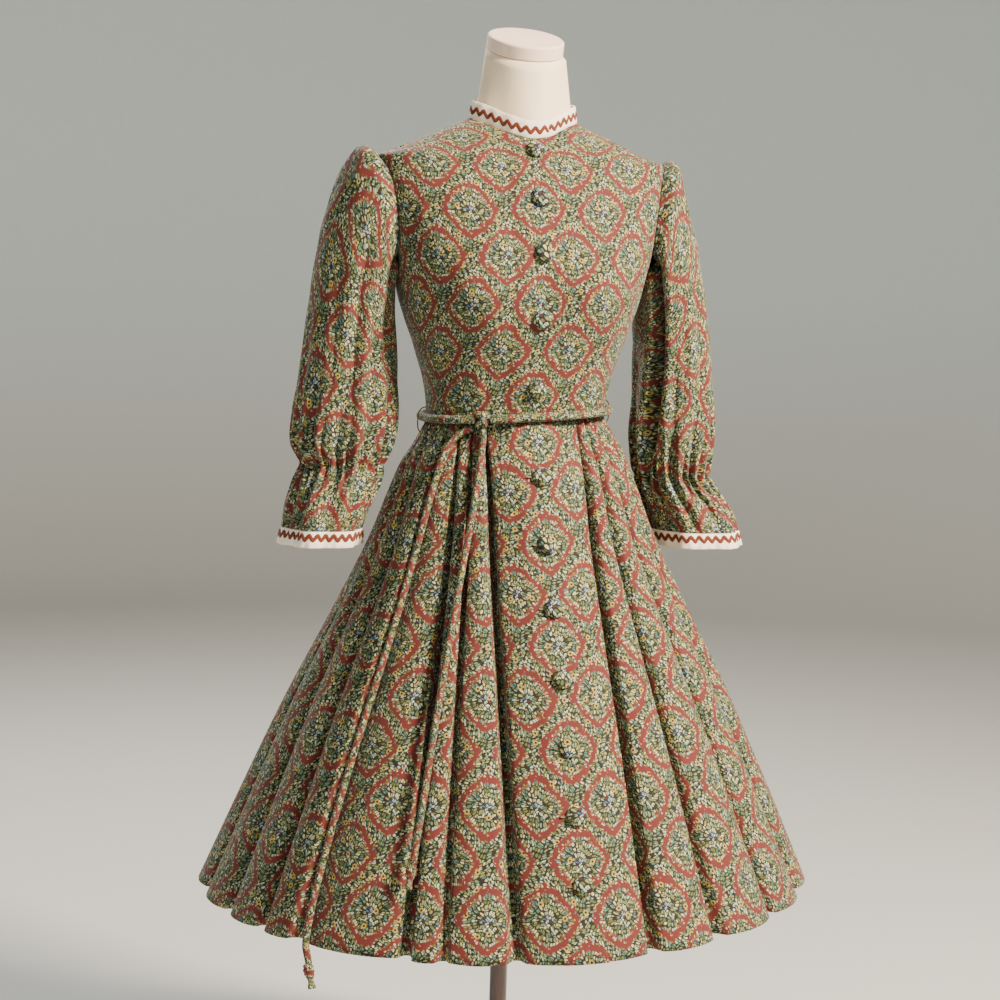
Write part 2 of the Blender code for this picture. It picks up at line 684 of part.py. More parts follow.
def skirt_place(angle, z, inset=0.0):
    """On the skirt, this far in from its crests, with the lean of its waist and hem."""
    radius = skirt_radius(angle, z) - inset
    x, y = radius * math.sin(angle), -radius * math.cos(angle)
    hem, waist = SKIRT["z"][0], SKIRT["z"][-1]
    share = (waist - z) / (waist - hem)
    return np.array((x, y, z + x * (WAIST_LEAN + (HEM_LEAN - WAIST_LEAN) * share)))


def skirt_out(angle, z):
    turn, rise = 0.02, 0.004
    across = skirt_place(angle + turn, z) - skirt_place(angle - turn, z)
    up = skirt_place(angle, z + rise) - skirt_place(angle, z - rise)
    return unit(np.cross(across, up))


def fold_angle(fold, z):
    """The fold runs straight, seen from above, from its place at the waist to that at the hem."""
    hem_z, waist_z_here = SKIRT["z"][0], SKIRT["z"][-1]
    waist, hem = math.radians(fold["waist_deg"]), math.radians(fold["hem_deg"])
    start = skirt_place(waist, waist_z_here)[:2]
    end = skirt_place(hem, hem_z)[:2]
    middle = (waist + hem) / 2
    reach = skirt_radius(middle, z)
    first, last = np.linalg.norm(start), np.linalg.norm(end)
    place = start + (end - start) * (reach - first) / (last - first)
    angle = math.atan2(place[0], -place[1])
    return middle + math.remainder(angle - middle, math.tau)


def fold_columns(fold, z):
    """(angle, inset) of a fold's first edge, its bottom and its second edge."""
    angle = fold_angle(fold, z)
    depth = fold["depth"] * along(SKIRT, "fold_share", z)
    turn = fold["half_width"] * along(SKIRT, "width_share", z) / skirt_radius(angle, z)
    edge = depth * FOLD_EDGE_SHARE
    return [(angle - turn, edge), (angle, depth), (angle + turn, edge)]


def skirt_row(z):
    """One row round the skirt, from the left front's edge by the back to the right front's."""
    row = [(math.atan2(x, along(SKIRT, "front", z)), 0.0) for x in LEFT_FRONT_LINES]
    for fold, following in zip(FOLDS, FOLDS[1:] + [None]):
        columns = fold_columns(fold, z)
        row.extend(columns)
        if following:
            row.append(((columns[1][0] + fold_columns(following, z)[1][0]) / 2, 0.0))
    row.extend(
        (math.tau + math.atan2(x, along(SKIRT, "front", z)), 0.0) for x in RIGHT_FRONT_LINES
    )
    return [skirt_place(angle, z, inset) for angle, inset in row]


def skirt():
    grid = np.array([skirt_row(z) for z in SKIRT["z"]])
    out = ways_out(grid)
    lines = len(LEFT_FRONT_LINES)
    per_fold = 4
    left_seam = lines + per_fold * FOLDS_ON_LEFT_FRONT - 1
    right_seam = lines + per_fold * (len(FOLDS) - FOLDS_ON_RIGHT_FRONT) - 1
    for column in range(right_seam + 1, grid.shape[1]):
        for row in range(grid.shape[0]):
            way = out[row, column] if row < grid.shape[0] - 1 else unit(out[row, column] * FLAT)
            grid[row, column] += way * overlap_lift(grid[row, column, 0])
    panels = (
        ("skirt_front_left", 0, left_seam),
        ("skirt_back", left_seam, right_seam),
        ("skirt_front_right", right_seam, grid.shape[1] - 1),
    )
    for name, first, last in panels:
        panel, ways = grid[:, first:last + 1].copy(), out[:, first:last + 1]
        if first:
            panel[:, 0] += moved_in(panel[:, 1] - panel[:, 0])
        if last < grid.shape[1] - 1:
            panel[:, -1] += moved_in(panel[:, -2] - panel[:, -1])
        sheet = Sheet()
        sheet.add_grid(panel, ways)
        cloth(name, sheet, WALL, COTTON)


def levelled(ways):
    """The ways out made level, so that the walls of two pieces meet edge to edge."""
    ways = ways * FLAT
    return ways / np.linalg.norm(ways, axis=-1, keepdims=True)


def moved_in(steps):
    """Half a seam gap along each of these steps."""
    return steps / np.linalg.norm(steps, axis=1, keepdims=True) * SEAM_GAP / 2


# Buttons


def turned(name, profile, steps, look):
    """A solid turned about Z from its profile's (radius, z) points, given from the top down."""
    mesh = bpy.data.meshes.new(name)
    points = [(radius, 0, z) for radius, z in profile]
    mesh.from_pydata(points, [(i, i + 1) for i in range(len(points) - 1)], [])
    obj = put(name, mesh, look, smooth=False)
    screw = obj.modifiers.new("turn", "SCREW")
    screw.axis = "Z"
    screw.steps = screw.render_steps = steps
    screw.use_merge_vertices = True
    screw.merge_threshold = 0.00005
    return obj


def stand_on(obj, place, out):
    """Puts an object at a place with its own Z along the way out."""
    turn = Vector(out).to_track_quat("Z", "Y").to_matrix().to_4x4()
    obj.matrix_world = Matrix.Translation(Vector(place)) @ turn


def surface_of(name):
    """The surface of a piece that is built, to rest others on."""
    mesh = bpy.data.objects[name].data
    return BVHTree.FromPolygons(
        [tuple(v.co) for v in mesh.vertices], [tuple(p.vertices) for p in mesh.polygons]
    )


def height_over(surface, place, out, radius):
    """How far out from the place a flat disc of this radius rests on the surface."""
    across = unit(np.cross(out, (0, 0, 1)))
    up = np.cross(across, out)
    start = 0.05
    heights = []
    for ring in (0.0, 0.5, 1.0):
        for turn in np.linspace(0, math.tau, 12, endpoint=False):
            spot = place + (across * math.cos(turn) + up * math.sin(turn)) * radius * ring
            hit = surface.ray_cast(Vector(spot + out * start), Vector(-out))
            if hit[0] is not None:
                heights.append(start - hit[3])
    return max(heights)


def buttons():
    surfaces = surface_of("bodice_front_right"), surface_of("skirt_front_right")
    profile = (
        (0.0, BUTTON_HEIGHT),
        (BUTTON_RADIUS * 0.62, BUTTON_HEIGHT * 0.80),
        (BUTTON_RADIUS, BUTTON_HEIGHT * 0.30),
        (BUTTON_RADIUS * 0.94, 0.0),
        (0.0, 0.0),
    )
    for number, z in enumerate(BUTTON_HEIGHTS, 1):
        if z > WAIST_Z:
            surface, place, out = surfaces[0], body_point(0, z), body_out(0, z)
        else:
            surface, place, out = surfaces[1], skirt_place(0, z), skirt_out(0, z)
        height = height_over(surface, place, out, BUTTON_RADIUS)
        obj = turned(f"button_{number:02d}", profile, 12, BUTTON_COTTON)
        stand_on(obj, place + out * (height + BUTTON_GAP), out)


# Belt, knot and ties


def cord(name, points, radius, look):
    """A tube along these points, with closed ends."""
    curve = bpy.data.curves.new(name, "CURVE")
    curve.dimensions = "3D"
    curve.bevel_depth = radius
    curve.bevel_resolution = 2
    curve.use_fill_caps = True
    spline = curve.splines.new("POLY")
    spline.points.add(len(points) - 1)
    for point, place in zip(spline.points, points):
        point.co = (*place, 1)
    return put(name, curve, look)


def belt_place(angle, above=0.0, clear=BELT_RADIUS + BELT_CLEAR):
    """This far out from the waist seam, and above it."""
    place = body_point(angle, WAIST_Z)
    out = unit(body_out(angle, WAIST_Z) * np.array((1, 1, 0)))
    lift = LAYER_LIFT * (1 - ease(abs(place[0]), 0.035, 0.060)) if place[1] < 0 else 0.0
    place = place + out * (clear + lift)
    place[2] = waist_z(place[0]) + BELT_RISE + above
    return place


def belt():
    knot = belt_place(KNOT_ANGLE)
    gap = (KNOT_HALF[0] + KNOT_GAP) / np.linalg.norm(knot[:2])
    angles = np.linspace(KNOT_ANGLE + gap, KNOT_ANGLE - gap + math.tau, BELT_POINTS)
    cord("belt", [belt_place(angle) for angle in angles], BELT_RADIUS, COTTON)

    mesh = bpy.data.meshes.new("belt_knot")
    shape = bmesh.new()
    bmesh.ops.create_uvsphere(shape, u_segments=14, v_segments=8, radius=1)
    shape.to_mesh(mesh)
    shape.free()
    obj = put("belt_knot", mesh, COTTON)
    turn = Matrix.Rotation(KNOT_ANGLE, 4, "Z")
    mesh.transform(turn @ Matrix.Diagonal((*KNOT_HALF, 1)))
    obj.location = knot + unit(knot * np.array((1, 1, 0))) * (KNOT_HALF[1] - BELT_RADIUS)


def tie_route(rows):
    """Down the skirt's crests from the knot, and the ways out; below the hem it hangs straight."""
    rows = table(TIE_COLUMNS, rows)
    low, high = rows["z"][0], rows["z"][-1]
    route, ways = [], []
    for share in np.linspace(0, 1, 300):
        z = high + (low - high) * share ** 2  # closer steps where it turns down from the knot
        angle = math.radians(along(rows, "angle_deg", z))
        on_skirt = max(z, SKIRT["z"][0])
        way = skirt_out(angle, on_skirt)
        place = skirt_place(angle, on_skirt) + way * (TIE_RADIUS + BELT_CLEAR)
        route.append(place + np.array((0, 0, z - on_skirt)))
        ways.append(way)
    length = np.linalg.norm(np.diff(route, axis=0), axis=1).sum()
    return resampled(route, ways, int(round(length / TIE_STEP)) + 1)


def tie(word, rows):
    route, ways = tie_route(rows)
    cord("tie_end_" + word, route, TIE_RADIUS, COTTON)
    knot, tail = TIP_KNOT_LENGTH, TIP_TAIL_LENGTH
    profile = (
        (0.0, 0.0),
        (TIP_KNOT_RADIUS * 0.75, -knot * 0.12),
        (TIP_KNOT_RADIUS, -knot * 0.50),
        (TIP_KNOT_RADIUS * 0.72, -knot * 0.90),
        (TIP_TAIL_RADIUS, -knot),
        (TIP_TAIL_RADIUS * 0.90, -knot - tail * 0.85),
        (0.0, -knot - tail),
    )
    obj = turned("tie_tip_" + word, profile, 10, COTTON)
    down = unit(route[-1] - route[-2])
    clear = TIP_KNOT_RADIUS - TIE_RADIUS
    stand_on(obj, route[-1] + down * KNOT_GAP + ways[-1] * clear, -down)


def belt_loops():
    for word, side in (("left", 1), ("right", -1)):
        angle = side * math.pi / 2
        places = [belt_place(angle, above, out) for out, above in LOOP_ROWS]
        cord("belt_loop_" + word, places, LOOP_RADIUS, THREAD)


# Dress form


def solid_of_rings(name, rings, look):
    """A closed solid through rings of places that run round with the angle, from the bottom up."""
    count = len(rings[0])
    faces = [tuple(reversed(range(count)))]
    for ring in range(len(rings) - 1):
        for i in range(count):
            j = (i + 1) % count
            low, high = ring * count, (ring + 1) * count
            faces.append((low + i, low + j, high + j, high + i))
    faces.append(tuple(range((len(rings) - 1) * count, len(rings) * count)))
    mesh = bpy.data.meshes.new(name)
    mesh.from_pydata([tuple(place) for ring in rings for place in ring], [], faces)
    return put(name, mesh, look)


def form_place(angle, z):
    waist = math.exp(-((z - WAIST_Z) / FORM_WAIST_REACH) ** 2)
    inset = WALL + FORM_EASE + FORM_WAIST_EASE * waist
    return body_point(angle, z) - body_out(angle, z) * inset


def form():
    angles = [math.tau * i / FORM_RING_POINTS for i in range(FORM_RING_POINTS)]
    rings = [[form_place(a, z) for a in angles] for z in FORM_LEVELS]
    for share in FORM_SHOULDER_SHARES:
        level = FORM_LEVELS[-1]
        rings.append([form_place(a, level + (neck_z(a) - level) * share) for a in angles])
    neck_inset = BAND_WALL + FORM_EASE
    for share in (0.18, 0.45, 0.75):
        ring = []
        for a in angles:
            base = neck_base(a) - np.array((math.sin(a), -math.cos(a), 0)) * neck_inset
            ring.append(base + (neck_top(a, neck_inset) - base) * share)
        rings.append(ring)
    slope = unit(np.array((0, -NECK_TOP_TILT, 1)))
    seam = [neck_top(a, neck_inset) - slope * NECK_CAP_HEIGHT for a in angles]
    rings.append(seam)
    solid_of_rings("form_torso", rings, JERSEY)

    cap = [
        [place + slope * STAND_GAP for place in seam],
        [neck_top(a, neck_inset) - slope * NECK_CAP_ROUND for a in angles],
        [neck_top(a, neck_inset + NECK_CAP_ROUND) for a in angles],
    ]
    solid_of_rings("form_neck_cap", cap, CAP_JERSEY)

    length = FORM_BOTTOM_Z - BASE_HEIGHT - 2 * STAND_GAP
    mesh = bpy.data.meshes.new("form_pole")
    shape = bmesh.new()
    bmesh.ops.create_cone(
        shape, cap_ends=True, segments=16, radius1=POLE_RADIUS, radius2=POLE_RADIUS, depth=length
    )
    shape.to_mesh(mesh)
    shape.free()
    pole = put("form_pole", mesh, VARNISHED_WOOD, smooth=False)
    pole.location.z = BASE_HEIGHT + STAND_GAP + length / 2

    turned(
        "form_base",
        (
            (0.0, BASE_HEIGHT),
            (BASE_RADIUS - BASE_ROUND, BASE_HEIGHT),
            (BASE_RADIUS - BASE_ROUND * 0.3, BASE_HEIGHT - BASE_ROUND * 0.3),
            (BASE_RADIUS, BASE_HEIGHT - BASE_ROUND),
            (BASE_RADIUS, 0.0),
            (0.0, 0.0),
        ),
        40,
        VARNISHED_WOOD,
    )


def main():
    clear_scene()
    form()
    bodice()
    collar()
    sleeve("left", 1, LEFT_SLEEVE_ROWS, LEFT_SLEEVE_FOLDS)
    sleeve("right", -1, RIGHT_SLEEVE_ROWS, RIGHT_SLEEVE_FOLDS)
    skirt()
    buttons()
    belt()
    belt_loops()
    tie("long", LONG_TIE_ROWS)
    tie("short", SHORT_TIE_ROWS)


main()
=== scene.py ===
import math
import bpy
import numpy as np
from mathutils import Matrix, Vector


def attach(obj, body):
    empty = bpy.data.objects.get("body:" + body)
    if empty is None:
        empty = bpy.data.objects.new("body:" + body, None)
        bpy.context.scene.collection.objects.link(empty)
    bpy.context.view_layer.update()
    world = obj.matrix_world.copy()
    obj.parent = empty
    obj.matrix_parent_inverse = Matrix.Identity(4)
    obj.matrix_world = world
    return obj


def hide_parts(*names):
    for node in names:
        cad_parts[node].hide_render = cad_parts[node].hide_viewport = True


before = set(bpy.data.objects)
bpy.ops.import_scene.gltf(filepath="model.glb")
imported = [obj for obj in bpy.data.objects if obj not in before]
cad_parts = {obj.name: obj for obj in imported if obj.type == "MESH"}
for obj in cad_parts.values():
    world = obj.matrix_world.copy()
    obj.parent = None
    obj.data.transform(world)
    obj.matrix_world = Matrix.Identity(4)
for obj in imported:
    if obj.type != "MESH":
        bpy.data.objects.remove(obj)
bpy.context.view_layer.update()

# Metres, +Z up, the front faces -Y and the wearer's left is +X. Angles start at the front.

flat = np.array((1.0, 1.0, 0.0))


# Camera, at the photograph's angle

cameraSetup = {
    "distance": 2.6,  # from the dress's middle, across the floor
    "azimuth": -15.0,  # degrees, towards the wearer's right
    "height": 1.174,
    "pitch": 5.8,  # degrees down
    "roll": 1.6,
    "yaw": 0.3356,
    "lens": 73.76,  # mm on a 36 mm sensor
}


def makeCamera(c):
    azimuth, pitch, roll, yaw = (math.radians(c[k]) for k in ("azimuth", "pitch", "roll", "yaw"))
    ahead = np.array((-math.sin(azimuth), math.cos(azimuth), 0.0))
    side = np.array((math.cos(azimuth), math.sin(azimuth), 0.0))
    ahead, side = (
        ahead * math.cos(yaw) - side * math.sin(yaw),
        side * math.cos(yaw) + ahead * math.sin(yaw),
    )
    up = np.array((0.0, 0.0, 1.0))
    ahead, up = (
        ahead * math.cos(pitch) - up * math.sin(pitch),
        up * math.cos(pitch) + ahead * math.sin(pitch),
    )
    side, up = (
        side * math.cos(roll) + up * math.sin(roll),
        up * math.cos(roll) - side * math.sin(roll),
    )
    data = bpy.data.cameras.new("photoCamera")
    data.lens, data.sensor_width = c["lens"], 36.0
    camera = bpy.data.objects.new("photoCamera", data)
    place = Matrix(np.column_stack((side, up, -ahead)).tolist()).to_4x4()
    place.translation = (
        math.sin(azimuth) * c["distance"], -math.cos(azimuth) * c["distance"], c["height"]
    )
    camera.matrix_world = place
    bpy.context.collection.objects.link(camera)
    bpy.context.scene.camera = camera


makeCamera(cameraSetup)
print("camera placed")


# Small tools


def linearColour(hexText):
    srgb = [int(hexText[i:i + 2], 16) / 255 for i in (1, 3, 5)]
    return [c / 12.92 if c <= 0.04045 else ((c + 0.055) / 1.055) ** 2.4 for c in srgb] + [1.0]


def addNode(material, kind, settings, *inputs):
    # Inputs go in by order: a number or colour is set, another node or socket is linked
    tree = material.node_tree
    node = tree.nodes.new("ShaderNode" + kind)
    for name, value in settings.items():
        if hasattr(node, name):
            setattr(node, name, value)
        elif isinstance(value, bpy.types.Node):
            tree.links.new(value.outputs[0], node.inputs[name])
        elif isinstance(value, bpy.types.NodeSocket):
            tree.links.new(value, node.inputs[name])
        else:
            node.inputs[name].default_value = value
    for socket, value in zip(node.inputs, inputs):
        if value is None:
            continue
        if isinstance(value, bpy.types.Node):
            value = value.outputs[0]
        if isinstance(value, bpy.types.NodeSocket):
            tree.links.new(value, socket)
        else:
            socket.default_value = value
    return node


def mixColours(material, share, first, second, kind="MIX"):
    return addNode(material, "MixRGB", {"blend_type": kind}, share, first, second)


def newMaterial(name):
    material = bpy.data.materials.new(name)
    material.use_nodes = True
    material.node_tree.nodes.clear()
    return material


def finishMaterial(material, colour, bump, settings):
    # The shader and the output, with the colour and the bump height that were made for it
    values = dict(settings)
    values["Normal"] = addNode(material, "Bump", {
        "Strength": 1.0, "Distance": values.pop("bumpDepth"), "Height": bump})
    shader = addNode(material, "BsdfPrincipled", values, colour)
    addNode(material, "OutputMaterial", {}, shader)
    return material


def table(columns, rows):
    return dict(zip(columns, np.array(rows, float).T))


def along(rows, name, at):
    # A smooth curve through a table's rows that doesn't overshoot them, as in the CAD
    x, y = rows["z"], rows[name]
    at = np.clip(np.asarray(at, float), x[0], x[-1])
    steps = np.diff(y) / np.diff(x)
    slopes = np.empty(len(x))
    slopes[0], slopes[-1] = steps[0], steps[-1]
    low, high = steps[:-1], steps[1:]
    total = np.where(low + high == 0, 1, low + high)
    slopes[1:-1] = np.where(low * high > 0, 2 * low * high / total, 0)
    i = np.clip(np.searchsorted(x, at) - 1, 0, len(x) - 2)
    width = x[i + 1] - x[i]
    t = (at - x[i]) / width
    start = y[i] * (1 + 2 * t) * (1 - t) ** 2 + slopes[i] * width * t * (1 - t) ** 2
    return start + y[i + 1] * t * t * (3 - 2 * t) + slopes[i + 1] * width * t * t * (t - 1)


def ease(value, start, end):
    t = np.clip((value - start) / (end - start), 0.0, 1.0)
    return t * t * (3 - 2 * t)


def unit(vectors):
    return vectors / np.maximum(np.linalg.norm(vectors, axis=-1, keepdims=True), 1e-12)


def wayAlong(points, closed=False, axis=0):
    if closed:
        return np.roll(points, -1, axis=axis) - np.roll(points, 1, axis=axis)
    return np.gradient(points, axis=axis)


def waysOut(grid, closed=False):
    return unit(np.cross(wayAlong(grid, closed, 1), wayAlong(grid)))


def runAlong(points, axis=0):
    # How far along the cloth each point lies, from the first row or column
    runs = np.cumsum(np.linalg.norm(np.diff(points, axis=axis), axis=-1), axis=axis)
    return np.concatenate((np.zeros_like(runs.take([0], axis)), runs), axis=axis)


def flatMap(u, v):
    # The same rows and columns laid flat, in metres
    return np.stack(np.broadcast_arrays(u, v), axis=-1)


def softNoise(u, v, sizeU, sizeV, seed):
    # Slow uneven waves, about 1 high, of this size along u and v
    turns = np.random.default_rng(seed)
    total = np.zeros(np.broadcast(u, v).shape)
    for share in (1.0, 0.73, 0.52, 0.38):
        a, b, c, d = turns.uniform(0, math.tau, 4)
        lean = turns.uniform(-0.5, 0.5)
        wave = np.sin(u / sizeU * math.tau / share ** 0.7 + lean * v / sizeV + a)
        total = total + share * wave * np.sin(
            v / sizeV * math.tau / share ** 0.7 + b + 0.6 * np.sin(u / sizeU * 2 + c))
    return total / 1.6


def smoothRows(rows, count):
    # Rows of a table made many, on a curve through them (Catmull-Rom)
    rows = np.array(rows, float)
    at = np.linspace(0, len(rows) - 1, count)
    i = np.clip(at.astype(int), 0, len(rows) - 2)
    t = (at - i)[:, None]
    a, b = rows[np.maximum(i - 1, 0)], rows[i]
    c, d = rows[i + 1], rows[np.minimum(i + 2, len(rows) - 1)]
    return 0.5 * (2 * b + (c - a) * t + (2 * a - 5 * b + 4 * c - d) * t ** 2
                  + (3 * b - a - 3 * c + d) * t ** 3)


def resampled(row, count):
    row = np.array(row, float)
    runs = runAlong(row[:, :3])
    at = np.linspace(0, runs[-1], count)
    return np.stack([np.interp(at, runs, row[:, i]) for i in range(row.shape[1])], axis=1)


def addMesh(name, points, faces, material, uvs=None):
    mesh = bpy.data.meshes.new(name)
    mesh.from_pydata(points, [], faces)
    if uvs is not None:
        layer = mesh.uv_layers.new(name="UVMap")
        layer.data.foreach_set("uv", np.asarray(uvs, np.float32).ravel())
    mesh.materials.append(material)
    mesh.shade_smooth()
    thing = bpy.data.objects.new(name, mesh)
    bpy.context.collection.objects.link(thing)
    return thing


def addPiece(name, points, faces, uvs, material):
    # Each corner of a face has a UV, in metres on the flat cloth
    piece = addMesh(name, points.tolist(), faces, material, uvs)
    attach(piece, "root")
    return piece


def ringFaces(rows, steps, capped=True):
    # Quads between rings of points from the bottom up, and a face over each end
    faces = [(i * steps + k, i * steps + (k + 1) % steps, (i + 1) * steps + (k + 1) % steps,
              (i + 1) * steps + k) for i in range(rows - 1) for k in range(steps)]
    if capped:
        faces.append(list(range(steps - 1, -1, -1)))
        faces.append([(rows - 1) * steps + k for k in range(steps)])
    return faces


def addCloth(name, grid, uv, thickness, material, closed=False, out=None):
    # A wall of cloth from a grid of rows that run up and columns that run round
    rows, columns = grid.shape[:2]
    out = waysOut(grid, closed) if out is None else out
    points = np.concatenate((grid.reshape(-1, 3), (grid - out * thickness).reshape(-1, 3)))
    count = rows * columns
    r, c = np.meshgrid(
        np.arange(rows - 1), np.arange(columns if closed else columns - 1), indexing="ij"
    )
    r, c = r.ravel(), c.ravel()
    n = (c + 1) % columns
    outer = np.stack((r * columns + c, r * columns + n, (r + 1) * columns + n,
                      (r + 1) * columns + c), axis=1)
    corners = np.stack((uv[r, c], uv[r, c + 1], uv[r + 1, c + 1], uv[r + 1, c]), axis=1)
    faces = [outer, outer[:, ::-1] + count]
    maps = [corners, corners[:, ::-1]]
    span = np.arange(columns if closed else columns - 1)
    nextOne = (span + 1) % columns
    top = (rows - 1) * columns
    edges = [(span, nextOne, uv[0, span], uv[0, span + 1]),
             (top + nextOne, top + span, uv[-1, span + 1], uv[-1, span])]
    if not closed:
        side, last = np.arange(rows - 1), columns - 1
        edges += [((side + 1) * columns, side * columns, uv[side + 1, 0], uv[side, 0]),
                  (side * columns + last, (side + 1) * columns + last,
                   uv[side, last], uv[side + 1, last])]
    for a, b, uvA, uvB in edges:
        faces.append(np.stack((b, a, a + count, b + count), axis=1))
        maps.append(np.stack((uvB, uvA, uvA, uvB), axis=1))
    return addPiece(name, points, np.concatenate(faces).tolist(), np.concatenate(maps), material)


def addTube(name, path, radius, sides, material, closed=False, uvStart=0.0):
    # A round tube along a path; radius is one number or one for each point
    path = np.array(path, float)
    count = len(path)
    ahead = unit(wayAlong(path, closed))
    radius = np.broadcast_to(radius, count)
    side = unit(np.cross(ahead[0], (0.3, 0.2, 1.0)))
    frames = []
    for way in ahead:
        side = unit(side - way * (side @ way))
        frames.append((side, np.cross(way, side)))
    turns = np.linspace(0, math.tau, sides, endpoint=False)
    points = np.concatenate([
        place + size * (np.cos(turns)[:, None] * a + np.sin(turns)[:, None] * b)
        for place, size, (a, b) in zip(path, radius, frames)
    ])
    runs = uvStart + runAlong(path)
    faces, maps = [], []
    for i in range(count if closed else count - 1):
        j = (i + 1) % count
        runJ = runs[j] if j else runs[i] + np.linalg.norm(path[0] - path[i])
        for k in range(sides):
            m = (k + 1) % sides
            u, w = k / sides * math.tau * radius[i], (k + 1) / sides * math.tau * radius[i]
            faces.append((i * sides + k, i * sides + m, j * sides + m, j * sides + k))
            maps.append(((u, runs[i]), (w, runs[i]), (w, runJ), (u, runJ)))
    maps = [corner for face in maps for corner in face]
    if not closed:
        for i, order in ((0, range(sides - 1, -1, -1)), (count - 1, range(sides))):
            faces.append([i * sides + k for k in order])
            maps.extend((0.01 * math.cos(turns[k]), runs[i] + 0.01 * math.sin(turns[k]))
                        for k in order)
    return addPiece(name, points, faces, maps, material)


# The upper body, as in the CAD

bodyRows = table(("z", "halfWidth", "front", "back"), (
    (0.780, 0.1520, 0.1120, 0.1180),
    (0.830, 0.1570, 0.1160, 0.1260),
    (0.880, 0.1530, 0.1140, 0.1270),
    (0.930, 0.1410, 0.1060, 0.1180),
    (0.980, 0.1220, 0.0960, 0.0980),
    (1.020, 0.1120, 0.0920, 0.0850),
    (1.060, 0.1170, 0.0980, 0.0880),
    (1.100, 0.1290, 0.1070, 0.0930),
    (1.140, 0.1435, 0.1150, 0.0970),
    (1.180, 0.1560, 0.1185, 0.1010),
    (1.220, 0.1660, 0.1160, 0.1040),
    (1.260, 0.1745, 0.1060, 0.1050),
    (1.300, 0.1815, 0.0910, 0.1030),
    (1.336, 0.1840, 0.0700, 0.0980),
    (1.348, 0.1573, 0.0600, 0.0965),
    (1.360, 0.1307, 0.0480, 0.0945),
    (1.372, 0.1040, 0.0375, 0.0915),
    (1.382, 0.0818, 0.0270, 0.0885),
    (1.390, 0.0640, 0.0130, 0.0860),
    (1.398, 0.0480, 0.0080, 0.0830),
))
waist = {"z": 1.020, "lean": 0.060}
closing = {"overEdge": 0.022, "underEdge": -0.014, "liftStart": -0.040, "liftEnd": -0.020,
           "lift": 0.0030}
bust = {"rise": 0.014, "z": 1.172, "height": 0.052, "angle": math.radians(34),
        "spread": math.radians(20)}
neck = {"backZ": 1.392, "drop": 0.032, "power": 3, "topZ": 1.490, "topY": -0.005,
        "tilt": 0.36, "halfWidth": 0.0540, "halfDepth": 0.0550}
armhole = {"topZ": 1.336, "bottomZ": 1.186, "sweep": math.radians(16)}
cloth = {"wall": 0.0014, "gap": 0.0004}


def bodyPoint(angle, z):
    angle, z = np.broadcast_arrays(np.asarray(angle, float), np.asarray(z, float))
    side, ahead = np.sin(angle), np.cos(angle)
    width = along(bodyRows, "halfWidth", z)
    reach = np.where(ahead > 0, along(bodyRows, "front", z), along(bodyRows, "back", z))
    radius = (np.abs(side / width) ** 2.5 + np.abs(ahead / reach) ** 2.5) ** (-1 / 2.5)
    turn = np.abs(np.remainder(angle + math.pi, math.tau) - math.pi)
    radius = radius + bust["rise"] * np.exp(
        -((turn - bust["angle"]) / bust["spread"]) ** 2 - ((z - bust["z"]) / bust["height"]) ** 2)
    return np.stack((radius * side, -radius * ahead, z), axis=-1)


def bodyOut(angle, z):
    across = bodyPoint(angle + 0.03, z) - bodyPoint(angle - 0.03, z)
    up = bodyPoint(angle, z + 0.003) - bodyPoint(angle, z - 0.003)
    return unit(np.cross(across, up))


def overlapLift(x):
    return closing["lift"] * ease(x, closing["liftStart"], closing["liftEnd"])


def neckZ(angle):
    return neck["backZ"] - neck["drop"] * ((1 + np.cos(angle)) / 2) ** neck["power"]


def frontAngle(x, z):
    return np.arctan2(x, along(bodyRows, "front", z))


def armholePlace(turn):
    middle = (armhole["topZ"] + armhole["bottomZ"]) / 2
    half = (armhole["topZ"] - armhole["bottomZ"]) / 2
    return math.pi / 2 - armhole["sweep"] * np.sin(turn), middle + half * np.cos(turn)


# The skirt at the crests of its folds, as in the CAD

